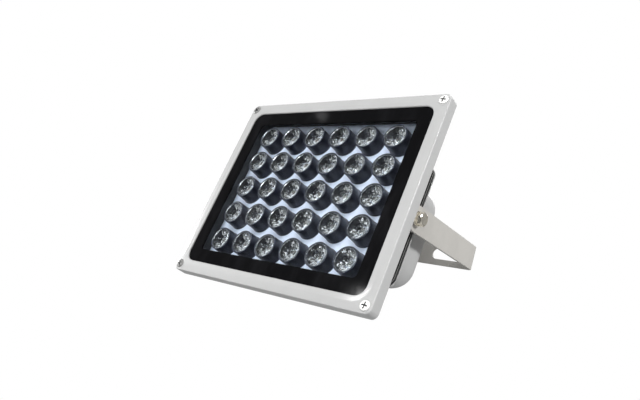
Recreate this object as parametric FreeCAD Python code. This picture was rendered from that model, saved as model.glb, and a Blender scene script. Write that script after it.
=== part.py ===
import FreeCAD, Part
import math
import os
from FreeCAD import Vector

# Infrared array illuminator: a die-cast lamp head that tilts between the arms of a U-bracket.
# Millimetres. The row frame has its origin at the centre of the bracket's rear face,
# X to the right, Y out of the wall side of the bracket and Z up. The lamp looks along -Y.
# The head is drawn level in a frame of its own, with Y from the window towards the back,
# and is then hung on the pivot at its resting tilt.

# Front frame
head_width = 225.0
head_height = 185.0
bezel_depth = 11.2
bezel_corner = 5.0
bezel_wall = 2.2
bezel_fall = 0.7
bezel_edge_bevel = 1.0
frame_side_band = 10.2
frame_top_band = 11.2
window_corner = 9.5
lip_thickness = 1.4
lip_bevel = 0.6
lip_flat = 1.2

# Glass and its seal
glass_thickness = 3.0
glass_lap = 3.0
seal_edge = 1.7
seal_behind = 1.6
seal_lap = 6.3

# Emitter array
columns = 6
rows = 5
array_margin_x = 24.9
array_margin_z = 22.7
lens_radius = 10.5
lens_depth = 9.8
cup_rim = 1.0
cup_height = 12.7
cup_base_radius = 11.0
cup_hole_radius = 4.2
cup_sides = 12
emitter_size = 5.0
emitter_height = 2.2

# Board and black liner
board_thickness = 1.6
board_inset_x = 4.9
board_inset_z = 3.6
liner_wall = 2.0

# Die-cast rear housing
pan_wall = 3.0
floor_thickness = 3.5
screw_boss_radius = 4.4
screw_boss_cap = 2.5
pedestal_height = 102.0
pedestal_corner = 6.0
pedestal_depth = 22.1
collar_lap = 3.0
collar_thickness = 6.0
collar_band = 8.5
fin_count = 15
fin_thickness = 2.0
fin_pitch = 11.0
fin_top_inset = 2.0
fin_slope = 9.0
fin_reach = 18.0
pan_corner_extra = 2.0

# Rear seal
rear_seal_arm_gap = 5.2
rear_seal_overhang_x = 2.3
rear_seal_overhang_z = 1.5
rear_seal_thickness = 4.5
rear_seal_bead = 1.7
rear_seal_bead_height = 0.9

# Rear box with the driver
flange_thickness = 2.0
box_width = 164.0
box_height = 94.0
box_depth = 45.6
box_round = 20.0
box_wall = 3.0
box_inner_chamfer = 10.0
box_screw_inset = 6.3

# Driver, its terminal block and the leads to the board
driver_width = 118.0
driver_height = 62.0
driver_thickness = 1.6
driver_gap = 30.0
post_radius = 3.5
post_inset = 7.0
coil_size = 24.0
coil_height = 18.0
capacitor_radius = 8.0
capacitor_height = 25.0
capacitor_gap = 6.0
terminal_length = 26.0
terminal_height = 12.0
terminal_depth = 10.0
terminal_inset = 14.0
lead_radius = 1.1
lead_pitch = 6.0
lead_hole_radius = 6.0

# Cable gland under the rear box
gland_y = 71.0
gland_thread_radius = 6.0
gland_thread_length = 7.0
gland_hex = 17.0
gland_hex_height = 5.0
gland_collar_radius = 7.0
gland_collar_height = 9.0
gland_bore_radius = 5.2
gland_seat = 1.2
gland_seat_radius = 10.5
nut_height = 10.5
nut_mouth_radius = 4.6
cable_radius = 3.5
cable_slack = 0.7

# Screws
bezel_screw_inset = 6.0
screw_radius = 2.0
screw_head_radius = 4.0
screw_head_height = 2.4
bezel_sink = 1.0
bezel_sink_radius = 4.6
bezel_screw_length = 10.0
box_screw_length = 9.0
screw_hole_slack = 0.2
thread_slack = 0.05

# Pivot
pivot_y = 36.5
boss_radius = 7.4
boss_depth = 14.0
bolt_radius = 3.0
bolt_hex = 10.0
bolt_head_height = 4.0
bolt_tail = 12.0
flat_washer_radius = 6.0
flat_washer_thickness = 1.0
spring_washer_radius = 5.4
spring_washer_thickness = 1.5
spring_washer_split = 1.0
friction_washer_radius = 8.0
friction_washer_thickness = 1.0
pivot_slack = 0.08
washer_slack = 0.2
side_slack = 0.1

# Bracket of flat bar
bracket_width = 194.0
bar_width = 22.0
bar_thickness = 2.5
arm_length = 110.0
bend_radius = 2.0
slot_width = 10.5
slot_length = 36.0
slot_spacing = 143.0
fixing_hole_radius = 5.25
head_tilt = 9.2

# Clearances between pieces of the head
fit_slack = 0.3
cone_slack = 0.1
touch_slack = 0.2

# Small round bars and holes, and the round corners behind the front frame, have flat sides
bar_sides = 12
corner_sides = 3

# Sizes worked out from the ones above
half_x = head_width / 2
half_z = head_height / 2
window_width = head_width - 2 * frame_side_band
window_height = head_height - 2 * frame_top_band
board_width = window_width - 2 * board_inset_x
board_height = window_height - 2 * board_inset_z
pitch_x = (board_width - 2 * array_margin_x) / (columns - 1)
pitch_z = (board_height - 2 * array_margin_z) / (rows - 1)
glass_front = lip_thickness
glass_back = glass_front + glass_thickness
rim_front = glass_back + seal_behind
glass_half_x = window_width / 2 + glass_lap
glass_half_z = window_height / 2 + glass_lap
glass_corner = window_corner + glass_lap
cup_front = glass_back + touch_slack
board_front = cup_front + cup_height
board_back = board_front + board_thickness
floor_back = board_back + floor_thickness
pedestal_back = floor_back + pedestal_depth
flange_front = pedestal_back + rear_seal_thickness
flange_back = flange_front + flange_thickness
box_back = flange_front + box_depth
driver_front = floor_back + driver_gap
arm_inner_x = bracket_width / 2 - bar_thickness
boss_end_x = arm_inner_x - side_slack - friction_washer_thickness
rear_seal_width = 2 * (arm_inner_x - rear_seal_arm_gap)
rear_seal_height = pedestal_height + 2 * (collar_lap + rear_seal_overhang_z)
pedestal_width = rear_seal_width - 2 * (collar_lap + rear_seal_overhang_x)
pan_half_x = half_x - bezel_wall - fit_slack
pan_half_z = half_z - bezel_wall - fit_slack
pan_corner = bezel_corner + pan_corner_extra
tray_half_x = board_width / 2 + fit_slack
tray_half_z = board_height / 2 + fit_slack
rear_opening = (
    pedestal_width / 2 + collar_lap - collar_band,
    pedestal_height / 2 + collar_lap - collar_band,
    pedestal_corner,
)
box_bottom_z = -(box_height / 2)
pivot_point = Vector(0, pivot_y, 0)


def outline(hx, hz, corner, y):
    """A rectangle with round corners, square to the head's depth."""
    turns = []
    for cx, cz, start in (
        (hx - corner, hz - corner, 0),
        (corner - hx, hz - corner, 90),
        (corner - hx, corner - hz, 180),
        (hx - corner, corner - hz, 270),
    ):
        angles = [math.radians(start + step) for step in (0, 45, 90)]
        turns.append([Vector(cx + corner * math.cos(a), y, cz + corner * math.sin(a)) for a in angles])
    edges = []
    for here, after in zip(turns, turns[1:] + turns[:1]):
        edges.append(Part.Arc(*here).toShape())
        edges.append(Part.LineSegment(here[2], after[0]).toShape())
    return Part.Wire(edges)


def slab(hx, hz, corner, front, back):
    """A plate with round corners between two depths."""
    return Part.Face(outline(hx, hz, corner, front)).extrude(Vector(0, back - front, 0))


def plain_slab(hx, hz, corner, front, back):
    """A plate whose corners, less in view, are cut to flat sides instead of round."""
    ring = []
    for sx, sz, start in ((1, 1, 0), (-1, 1, 90), (-1, -1, 180), (1, -1, 270)):
        for k in range(corner_sides + 1):
            turn = math.radians(start + 90 * k / corner_sides)
            ring.append(Vector(sx * (hx - corner) + corner * math.cos(turn), front,
                               sz * (hz - corner) + corner * math.sin(turn)))
    return Part.Face(Part.makePolygon(ring + ring[:1])).extrude(Vector(0, back - front, 0))


def frustum(near, far):
    """A solid with flat sides between two outlines that have as many points each."""
    sides = zip(near, near[1:] + near[:1], far[1:] + far[:1], far)
    faces = [Part.Face(Part.makePolygon([*side, side[0]])) for side in sides]
    faces += [Part.Face(Part.makePolygon(ring + ring[:1])) for ring in (near[::-1], far)]
    shell = Part.Shell(faces)
    shell.sewShape()
    solid = Part.Solid(shell)
    return solid if solid.Volume > 0 else frustum(near[::-1], far[::-1])


def wedge(near_x, near_z, front, far_x, far_z, back):
    """A block between two depths whose half sizes change from the near ones to the far ones."""
    return Part.makeWedge(-near_x, front, -near_z, -far_z, -far_x, near_x, back, near_z, far_z, far_x)


def edges_at(shape, y):
    """The edges that lie wholly at one depth."""
    return [e for e in shape.Edges if e.BoundBox.YMin > y - 0.01 and e.BoundBox.YMax < y + 0.01]


def edges_along(shape, length):
    """The shape's edges along its depth that are at least so long."""
    return [e for e in shape.Edges if e.BoundBox.YLength > length]


def rod(radius, start, end):
    """A round bar between two points."""
    return Part.makeCylinder(radius, (end - start).Length, start, end - start)


def along_x(make, radius, x0, x1):
    """A bar or a hole on the pivot's axis."""
    return make(radius, Vector(x0, pivot_y, 0), Vector(x1, pivot_y, 0))


def along_y(make, radius, x, z, front, back):
    """A bar or a hole along the head's depth."""
    return make(radius, Vector(x, front, z), Vector(x, back, z))


def prism(corner_radius, sides, start, end):
    """A bar with flat sides between two points."""
    turns = [2 * math.pi * k / sides for k in range(sides)]
    ring = [Vector(corner_radius * math.cos(a), corner_radius * math.sin(a), 0) for a in turns]
    bar = Part.Face(Part.makePolygon(ring + ring[:1])).extrude(Vector(0, 0, (end - start).Length))
    bar.Placement = FreeCAD.Placement(start, FreeCAD.Rotation(Vector(0, 0, 1), end - start))
    return bar


def pin(radius, start, end):
    """A many-sided bar that just fits inside a round one."""
    return prism(radius, bar_sides, start, end)


def passage(radius, start, end):
    """A many-sided hole that a round bar just passes."""
    return prism(radius / math.cos(math.pi / bar_sides), bar_sides, start, end)


def hexagon(across_flats, start, end):
    """A hexagonal bar between two points."""
    return prism(across_flats / math.sqrt(3), 6, start, end)


def pan_head_screw(seat, direction, length):
    """A screw whose head stands on its seat and whose shank runs the other way."""
    head = pin(screw_head_radius, seat, seat + direction * screw_head_height)
    return head.fuse(pin(screw_radius, seat, seat - direction * length))


def corners(hx, hz):
    """The four corner places of a rectangle, as x and z."""
    return [(sx * hx, sz * hz) for sx in (-1, 1) for sz in (-1, 1)]


def array_places():
    """The centre of each emitter, as x and z."""
    return [
        ((c - (columns - 1) / 2) * pitch_x, (r - (rows - 1) / 2) * pitch_z)
        for r in range(rows)
        for c in range(columns)
    ]


bezel_screw_places = corners(half_x - bezel_screw_inset, half_z - bezel_screw_inset)
box_screw_places = corners(rear_seal_width / 2 - box_screw_inset, rear_seal_height / 2 - box_screw_inset)
post_places = corners(driver_width / 2 - post_inset, driver_height / 2 - post_inset)


def drilled(shape, radius, places, front, back):
    """The shape with a hole along the depth at each place."""
    return shape.cut(Part.makeCompound([along_y(passage, radius, x, z, front, back) for x, z in places]))


def front_bezel():
    """The painted front frame: a shallow tray with the window cut out of its sloping face."""
    body = slab(half_x, half_z, bezel_corner, bezel_fall, bezel_depth)
    body = body.makeChamfer(bezel_edge_bevel, edges_at(body, bezel_fall))
    brow = tuple(size - bezel_edge_bevel for size in (half_x, half_z, bezel_corner))
    slope = wedge(window_width / 2 + lip_flat, window_height / 2 + lip_flat, 0.0,
                  half_x - bezel_edge_bevel, half_z - bezel_edge_bevel, bezel_fall)
    body = body.fuse(slope.common(slab(*brow, 0.0, bezel_fall)))
    outer_edges = edges_at(body, 0.0)
    body = body.cut(slab(window_width / 2, window_height / 2, window_corner, 0.0, bezel_depth))
    known = [e.CenterOfMass for e in outer_edges]
    lip = [e for e in edges_at(body, 0.0) if all((e.CenterOfMass - c).Length > 0.01 for c in known)]
    body = body.makeChamfer(lip_bevel, lip)
    pocket = tuple(s + seal_edge + fit_slack for s in (glass_half_x, glass_half_z, glass_corner))
    body = body.cut(plain_slab(*pocket, glass_front, bezel_depth))
    inner = (half_x - bezel_wall, half_z - bezel_wall, bezel_corner - bezel_wall)
    body = body.cut(plain_slab(*inner, rim_front, bezel_depth))
    body = drilled(body, screw_radius + screw_hole_slack, bezel_screw_places, -1.0, bezel_depth)
    return drilled(body, bezel_sink_radius, bezel_screw_places, -1.0, bezel_fall + bezel_sink)


def bezel_screws():
    """Four screws that hold the front frame to the rear housing."""
    seat = bezel_fall + bezel_sink
    return [
        pan_head_screw(Vector(x, seat, z), Vector(0, -1, 0), bezel_screw_length)
        for x, z in bezel_screw_places
    ]


def window_glass():
    """The flat glass behind the window."""
    return plain_slab(glass_half_x, glass_half_z, glass_corner, glass_front, glass_back)


def glass_seal():
    """The seal round the glass's edge and behind it."""
    edge = tuple(s + seal_edge for s in (glass_half_x, glass_half_z, glass_corner))
    inside = tuple(s - seal_lap for s in (glass_half_x, glass_half_z, glass_corner))
    body = plain_slab(*edge, glass_front, rim_front)
    body = body.cut(window_glass())
    return body.cut(plain_slab(*inside, glass_back, rim_front))


def inner_frame():
    """The black liner that hides the housing's walls and presses on the board."""
    outer = (board_width / 2, board_height / 2, window_corner)
    inner = tuple(s - liner_wall for s in outer)
    return plain_slab(*outer, cup_front, board_front).cut(plain_slab(*inner, cup_front, board_front))


def led_board():
    """The pale board that carries the emitters."""
    return plain_slab(board_width / 2, board_height / 2, window_corner, board_front, board_back)


def led_emitters():
    """One square emitter package under each lens."""
    half = emitter_size / 2
    return [
        Part.makeBox(emitter_size, emitter_height, emitter_size,
                     Vector(x - half, board_front - emitter_height, z - half))
        for x, z in array_places()
    ]


def ring_of_points(radius, x, z, y):
    """A many-sided ring, close to a circle."""
    turns = [2 * math.pi * k / cup_sides for k in range(cup_sides)]
    return [Vector(x + radius * math.cos(a), y, z + radius * math.sin(a)) for a in turns]


def cone(front_radius, back_radius, x, z, front, back):
    """A many-sided cone along the depth."""
    return frustum(ring_of_points(front_radius, x, z, front), ring_of_points(back_radius, x, z, back))


def lens_holders():
    """The black cups that hold the lenses over the emitters."""
    mouth = lens_radius + cone_slack
    cups = []
    for x, z in array_places():
        cup = cone(mouth + cup_rim, cup_base_radius, x, z, cup_front, board_front)
        cups.append(cup.cut(cone(mouth, cup_hole_radius, x, z, cup_front, board_front)))
    return cups


def lenses():
    """The clear cone lenses, which sit in the cups."""
    slope = (lens_radius + cone_slack - cup_hole_radius) / cup_height
    tip = lens_radius - slope * lens_depth
    return [cone(lens_radius, tip, x, z, cup_front, cup_front + lens_depth) for x, z in array_places()]


def cooling_fins():
    """The upright fins above and below the pedestal."""
    root = pedestal_height / 2 - pan_wall / 2
    tip = tray_half_z + pan_wall - fin_top_inset
    side = [
        Vector(0, floor_back - floor_thickness / 2, root),
        Vector(0, floor_back - floor_thickness / 2, tip),
        Vector(0, floor_back, tip),
        Vector(0, floor_back + fin_reach, tip - fin_slope),
        Vector(0, floor_back + fin_reach, root),
    ]
    plate = Part.Face(Part.makePolygon(side + side[:1])).extrude(Vector(fin_thickness, 0, 0))
    fins = []
    for k in range(fin_count):
        fin = plate.copy()
        fin.translate(Vector((k - (fin_count - 1) / 2) * fin_pitch - fin_thickness / 2, 0, 0))
        fins.append(fin)
        fins.append(fin.mirror(Vector(0, 0, 0), Vector(0, 0, 1)))
    return fins


def pivot_boss():
    """The boss on the pedestal's right side that the pivot bolt screws into."""
    return along_x(pin, boss_radius, boss_end_x - boss_depth, boss_end_x)


def rear_housing():
    """The casting that carries the front frame, the board, the rear box and the pivots."""
    tray = (tray_half_x, tray_half_z, window_corner)
    wall = tuple(size + pan_wall for size in tray)
    body = plain_slab(pan_half_x, pan_half_z, pan_corner, rim_front, bezel_depth)
    body = body.fuse(plain_slab(*wall, rim_front, floor_back))
    screw_end = bezel_fall + bezel_sink + bezel_screw_length + fit_slack
    body = body.fuse([
        along_y(pin, screw_boss_radius, *place, rim_front, screw_end + screw_boss_cap)
        for place in bezel_screw_places
    ])
    body = body.common(plain_slab(pan_half_x, pan_half_z, pan_corner, rim_front, floor_back))
    pedestal = (pedestal_width / 2, pedestal_height / 2, pedestal_corner)
    collar = tuple(size + collar_lap for size in pedestal)
    body = body.fuse(plain_slab(*pedestal, board_back, pedestal_back))
    body = body.fuse(plain_slab(*collar, pedestal_back - collar_thickness, pedestal_back))
    body = body.fuse(cooling_fins())
    boss = pivot_boss()
    bosses = Part.makeCompound([boss, boss.mirror(Vector(0, 0, 0), Vector(1, 0, 0))])
    body = body.fuse(bosses.Solids).removeSplitter()
    body = body.cut(plain_slab(*tray, rim_front, board_back))
    hollow = tuple(size - pan_wall for size in pedestal)
    body = body.cut(plain_slab(*hollow, floor_back, pedestal_back - collar_thickness).cut(bosses))
    body = body.cut(plain_slab(*rear_opening, pedestal_back - collar_thickness, pedestal_back).cut(bosses))
    body = body.fuse([along_y(pin, post_radius, x, z, floor_back, driver_front) for x, z in post_places])
    body = drilled(body, screw_radius + thread_slack, bezel_screw_places, rim_front, screw_end)
    body = drilled(body, screw_radius + thread_slack, box_screw_places,
                   flange_back - box_screw_length - fit_slack, pedestal_back)
    body = drilled(body, lead_hole_radius, [(0, 0)], board_back, floor_back)
    end = boss_end_x - bolt_tail - fit_slack
    bore = along_x(rod, bolt_radius + thread_slack, end, boss_end_x)
    return body.cut([bore, bore.mirror(Vector(0, 0, 0), Vector(1, 0, 0))])


def housing_gasket():
    """The ribbed seal between the housing and the rear box."""
    bead = (rear_seal_width / 2, rear_seal_height / 2, pedestal_corner + collar_lap)
    outer = tuple(size - rear_seal_bead_height for size in bead)
    body = plain_slab(*outer, pedestal_back, flange_front)
    middle = (pedestal_back + flange_front) / 2
    body = body.fuse(plain_slab(*bead, middle - rear_seal_bead / 2, middle + rear_seal_bead / 2))
    body = body.cut(plain_slab(*rear_opening, pedestal_back, flange_front))
    return drilled(body, screw_radius + screw_hole_slack, box_screw_places, pedestal_back, flange_front)


def box_block(wall):
    """The rear box's block, or its hollow where a wall is given."""
    hx = box_width / 2 - wall
    hz = box_height / 2 - wall
    return Part.makeBox(2 * hx, box_depth - wall, 2 * hz, Vector(-hx, flange_front, -hz))


def rear_box():
    """The driver housing: a deep cover with large round edges on a thin flange."""
    shell = box_block(0.0)
    shell = shell.makeFillet(box_round, edges_along(shell, box_depth / 2) + edges_at(shell, box_back))
    flange = (rear_seal_width / 2, rear_seal_height / 2, pedestal_corner + collar_lap)
    body = shell.fuse(plain_slab(*flange, flange_front, flange_back))
    seat_z = box_bottom_z - gland_seat
    body = body.fuse(pin(gland_seat_radius, Vector(0, gland_y, seat_z), Vector(0, gland_y, 0)))
    hollow = box_block(box_wall)
    inner_edges = edges_along(hollow, box_depth / 2) + edges_at(hollow, box_back - box_wall)
    hollow = hollow.makeChamfer(box_inner_chamfer, inner_edges)
    body = body.cut(hollow)
    bosses = [
        along_y(pin, post_radius, x, z, driver_front + driver_thickness, box_back - box_wall / 2)
        for x, z in post_places
    ]
    body = body.fuse(bosses).removeSplitter()
    body = drilled(body, screw_radius + screw_hole_slack, box_screw_places, flange_front, flange_back)
    hole = gland_thread_radius + thread_slack
    return body.cut(passage(hole, Vector(0, gland_y, seat_z), Vector(0, gland_y, 0)))


def box_screws():
    """Four screws that hold the rear box."""
    return [
        pan_head_screw(Vector(x, flange_back, z), Vector(0, 1, 0), box_screw_length)
        for x, z in box_screw_places
    ]


def driver_board():
    """The driver's circuit board, clamped between the posts."""
    return Part.makeBox(driver_width, driver_thickness, driver_height,
                        Vector(-driver_width / 2, driver_front, -driver_height / 2))


def driver_coil():
    """The driver's coil."""
    half = coil_size / 2
    return Part.makeBox(coil_size, coil_height, coil_size,
                        Vector(-half, driver_front + driver_thickness, -half))


def driver_capacitor():
    """The upright capacitor beside the coil."""
    foot = driver_front + driver_thickness
    return along_y(pin, capacitor_radius, coil_size / 2 + capacitor_gap + capacitor_radius, 0,
                   foot, foot + capacitor_height)


def terminal_block():
    """The block that takes the supply cable's cores."""
    x = terminal_inset - driver_width / 2
    foot = driver_front + driver_thickness
    return Part.makeBox(terminal_depth, terminal_height, terminal_length,
                        Vector(x, foot, -terminal_length / 2))


def feed_leads():
    """The two leads from the driver to the emitter board."""
    return [
        along_y(pin, lead_radius, side * lead_pitch / 2, 0, board_back, driver_front)
        for side in (-1, 1)
    ]


def down(distance):
    """A point on the gland's axis, so far below the box's seat for it."""
    return Vector(0, gland_y, box_bottom_z - gland_seat - distance)


def gland_body():
    """The gland's threaded body with its hexagon."""
    body = hexagon(gland_hex, down(0), down(gland_hex_height))
    collar_end = gland_hex_height + gland_collar_height
    body = body.fuse(pin(gland_thread_radius, down(-gland_thread_length), down(0)))
    body = body.fuse(pin(gland_collar_radius, down(gland_hex_height), down(collar_end)))
    body = body.removeSplitter()
    body = body.cut(passage(gland_bore_radius, down(gland_hex_height), down(collar_end)))
    return body.cut(passage(cable_radius + cable_slack, down(-gland_thread_length), down(gland_hex_height)))


def gland_seal():
    """The rubber ring that grips the cable."""
    top = down(gland_hex_height)
    foot = down(gland_hex_height + gland_collar_height)
    return passage(gland_bore_radius, top, foot).cut(rod(cable_radius, top, foot))


def gland_nut():
    """The cap nut that presses the rubber ring."""
    top = gland_hex_height + touch_slack
    body = hexagon(gland_hex, down(top), down(top + nut_height))
    end = gland_hex_height + gland_collar_height
    thread = passage(gland_collar_radius + thread_slack, down(top), down(end))
    return body.cut([thread, passage(nut_mouth_radius, down(top), down(top + nut_height))])


def pivot_stack():
    """The right pivot's pieces, by name, from the boss outwards."""
    outer = bracket_width / 2 + side_slack
    flat_end = outer + flat_washer_thickness
    spring_end = flat_end + spring_washer_thickness
    hole = bolt_radius + pivot_slack
    friction = along_x(pin, friction_washer_radius, boss_end_x, boss_end_x + friction_washer_thickness)
    flat = along_x(pin, flat_washer_radius, outer, flat_end)
    spring = along_x(pin, spring_washer_radius, flat_end, spring_end)
    split = Part.makeBox(spring_washer_thickness, spring_washer_split, spring_washer_radius,
                         Vector(flat_end, pivot_y - spring_washer_split / 2, 0))
    head_end = spring_end + bolt_head_height
    head = hexagon(bolt_hex, Vector(spring_end, pivot_y, 0), Vector(head_end, pivot_y, 0))
    shank = along_x(rod, bolt_radius, boss_end_x - bolt_tail, spring_end)
    return {
        "friction_washers": friction.cut(along_x(passage, hole, boss_end_x, outer)),
        "flat_washers": flat.cut(along_x(passage, hole + washer_slack, outer, flat_end)),
        "spring_washers": spring.cut([along_x(passage, hole + washer_slack, flat_end, spring_end), split]),
        "pivot_bolts": head.fuse(shank).removeSplitter(),
    }


def bracket():
    """The U-bracket: one flat bar, bent twice, with round ends and slots in its base."""
    hx = bracket_width / 2
    reach = arm_length + bar_width / 2
    outer_bend = bend_radius + bar_thickness
    outside = Part.makeBox(2 * hx, reach, bar_width, Vector(-hx, -reach, -bar_width / 2))
    outside = outside.makeFillet(outer_bend, upright_edges(outside, 0))
    inside = Part.makeBox(2 * (hx - bar_thickness), reach, bar_width,
                          Vector(bar_thickness - hx, -reach - bar_thickness, -bar_width / 2))
    inside = inside.makeFillet(bend_radius, upright_edges(inside, -bar_thickness))
    body = outside.cut(inside)
    tip = rod(bar_width / 2, Vector(-hx, -arm_length, 0), Vector(hx, -arm_length, 0))
    straight = Part.makeBox(2 * hx, arm_length, bar_width, Vector(-hx, -arm_length, -bar_width / 2))
    body = body.common(tip.fuse(straight))
    hole = bolt_radius + pivot_slack
    body = body.cut(rod(hole, Vector(-hx, -arm_length, 0), Vector(hx, -arm_length, 0)))
    body = body.cut(rod(fixing_hole_radius, Vector(0, -bar_thickness, 0), Vector(0, 0, 0)))
    for side in (-1, 1):
        body = body.cut(slot(side * slot_spacing / 2))
    return body.removeSplitter()


def upright_edges(box, y):
    """The box's two upright edges at one depth."""
    return [
        e for e in box.Edges
        if abs(e.BoundBox.YMin - y) < 0.01 and abs(e.BoundBox.YMax - y) < 0.01 and e.BoundBox.ZLength > 1.0
    ]


def slot(x):
    """A slot through the bracket's base, centred at x."""
    run = (slot_length - slot_width) / 2
    ends = [
        rod(slot_width / 2, Vector(x + side * run, -bar_thickness, 0), Vector(x + side * run, 0, 0))
        for side in (-1, 1)
    ]
    corner = Vector(x - run, -bar_thickness, -slot_width / 2)
    middle = Part.makeBox(2 * run, bar_thickness, slot_width, corner)
    return middle.fuse(ends).removeSplitter()


def hung(shape):
    """A piece of the head, moved from the level head's frame to its place on the bracket."""
    moved = shape.copy()
    moved.translate(-pivot_point)
    moved.rotate(Vector(0, 0, 0), Vector(1, 0, 0), -head_tilt)
    moved.translate(Vector(0, -arm_length, 0))
    return moved


def save(name, shape):
    """Writes one sub-part. A list becomes a group of separate solids."""
    whole = Part.makeCompound(shape) if isinstance(shape, list) else shape
    whole.exportStep(f"parts/{name}.step")


def main():
    """Builds every sub-part and writes it."""
    os.makedirs("parts", exist_ok=True)
    singles = (
        front_bezel, bezel_screws, window_glass, glass_seal, inner_frame, led_board, led_emitters,
        lens_holders, lenses, rear_housing, housing_gasket, rear_box, box_screws,
        driver_board, driver_coil, driver_capacitor, terminal_block, feed_leads,
        gland_body, gland_seal, gland_nut,
    )
    for make in singles:
        made = make()
        save(make.__name__, [hung(s) for s in made] if isinstance(made, list) else hung(made))
    for name, right in pivot_stack().items():
        save(name, [hung(right), hung(right.mirror(Vector(0, 0, 0), Vector(1, 0, 0)))])
    save("bracket", bracket())


main()
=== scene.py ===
import sys
import logging
import math
from collections.abc import Callable, Mapping, Sequence
from dataclasses import asdict, dataclass, field
from enum import Enum

import bmesh
import bpy
from mathutils import Matrix, Vector


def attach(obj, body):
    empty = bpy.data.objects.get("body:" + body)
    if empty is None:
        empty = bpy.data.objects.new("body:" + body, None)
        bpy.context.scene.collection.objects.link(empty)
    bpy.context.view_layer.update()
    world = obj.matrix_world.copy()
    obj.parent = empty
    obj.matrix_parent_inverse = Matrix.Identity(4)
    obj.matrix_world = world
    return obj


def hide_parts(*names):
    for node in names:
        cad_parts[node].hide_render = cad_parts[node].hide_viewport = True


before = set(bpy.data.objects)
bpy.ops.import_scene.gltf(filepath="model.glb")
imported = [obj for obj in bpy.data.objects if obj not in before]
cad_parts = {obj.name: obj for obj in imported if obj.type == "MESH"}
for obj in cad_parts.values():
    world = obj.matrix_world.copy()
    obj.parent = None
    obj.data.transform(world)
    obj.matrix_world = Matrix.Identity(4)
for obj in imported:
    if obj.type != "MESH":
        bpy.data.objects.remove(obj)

# An infrared array illuminator. Its head has a frame of its own, the level head's, with Y from the
# window towards the back, which hangs on the pivot at a tilt. Finishes use metres in that frame or
# in the row frame, and the mesh makers use millimetres.

log = logging.getLogger("illuminator")
Colour = tuple[float, float, float]
MM = 0.001
WHITE: Colour = (1.0, 1.0, 1.0)
FINISH_END = "_finish"
SOFT = 0.1 * MM  # half the width over which a printed or moulded edge changes its tone

# Sizes in millimetres that several pieces share: where the screws of the frame and of the rear
# box stand, across and up, at what depth they sit, and the radii of their holes.
FRAME_SCREWS = (106.5, 86.5)
FRAME_SEAT = 1.7
BOX_SCREWS = (83.0, 49.2)
BOX_SEAT = 51.0
CLEARANCE = 2.2
THREAD = 2.05


@dataclass(frozen=True)
class HeadPlace:
    """Where the level head's frame hangs in the row frame."""

    tilt: float = math.radians(-9.2)
    pivot_depth: float = 36.5 * MM
    arm: float = 110.0 * MM

    def matrix(self) -> Matrix:
        """The head frame's matrix in the row frame.

        Returns:
            The matrix.
        """
        turn = Matrix.Rotation(self.tilt, 4, "X")
        hang = Matrix.Translation((0, -self.arm, 0))
        return hang @ turn @ Matrix.Translation((0, -self.pivot_depth, 0))

    def origin(self) -> Vector:
        """The head frame's origin in the row frame."""
        return self.matrix().translation


HEAD = HeadPlace()


# Shader maths


def arithmetic(operation: str, swapped: bool = False) -> Callable[..., "Value"]:
    """Makes a method of Value that adds one Math node.

    Args:
        operation: the node's operation.
        swapped: whether the value is the last operand, as in the reflected forms.

    Returns:
        The method.
    """

    def method(self: "Value", *others: "Number") -> "Value":
        """Adds the node.

        Args:
            others: the other operands.

        Returns:
            The node's result.
        """
        operands = (*others, self) if swapped else (self, *others)
        given = dict(enumerate(operands))
        return self.graph.read("ShaderNodeMath", 0, {"operation": operation}, given)

    return method


class Value:
    """A socket of a node tree, on which Python arithmetic adds Math nodes."""

    __add__, __radd__ = arithmetic("ADD"), arithmetic("ADD", True)
    __sub__, __rsub__ = arithmetic("SUBTRACT"), arithmetic("SUBTRACT", True)
    __mul__, __rmul__ = arithmetic("MULTIPLY"), arithmetic("MULTIPLY", True)
    __truediv__, __rtruediv__ = arithmetic("DIVIDE"), arithmetic("DIVIDE", True)
    __abs__ = arithmetic("ABSOLUTE")
    least, most = arithmetic("MINIMUM"), arithmetic("MAXIMUM")
    fraction, root, sine = arithmetic("FRACT"), arithmetic("SQRT"), arithmetic("SINE")
    turn = arithmetic("ARCTAN2")  # the angle opposite this value and beside the other

    def __init__(self, graph: "Graph", socket: bpy.types.NodeSocket) -> None:
        """Keeps the socket and the graph that it belongs to."""
        self.graph = graph
        self.socket = socket

    def reach(self, other: "Value") -> "Value":
        """The distance that this value and another at right angles to it make."""
        return (self * self + other * other).root()

    def cell(self, pitch: float, shift: float = 0.0) -> "Value":
        """The distance from the middle of the nearest of many equal cells.

        Args:
            pitch: how wide a cell is.
            shift: how many cells the row is moved by.

        Returns:
            The distance, from half a cell before the middle to half a cell behind it.
        """
        return ((self / pitch + shift).fraction() - 0.5) * pitch

    def fall(self, low: float, high: float) -> "Value":
        """1 at and below the low level, 0 at and above the high one."""
        return 1.0 - self.ramp(low, high)

    def ramp(self, low: float, high: float, start: float = 0.0, end: float = 1.0) -> "Value":
        """A smooth step between two levels.

        Args:
            low: where the step starts.
            high: where the step ends.
            start: the result at and below the low end.
            end: the result at and above the high end.

        Returns:
            The stepped value.
        """
        settings = {"interpolation_type": "SMOOTHSTEP"}
        given = {"Value": self, "From Min": low, "From Max": high, "To Min": start, "To Max": end}
        return self.graph.read("ShaderNodeMapRange", "Result", settings, given)


Number = Value | float


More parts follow.
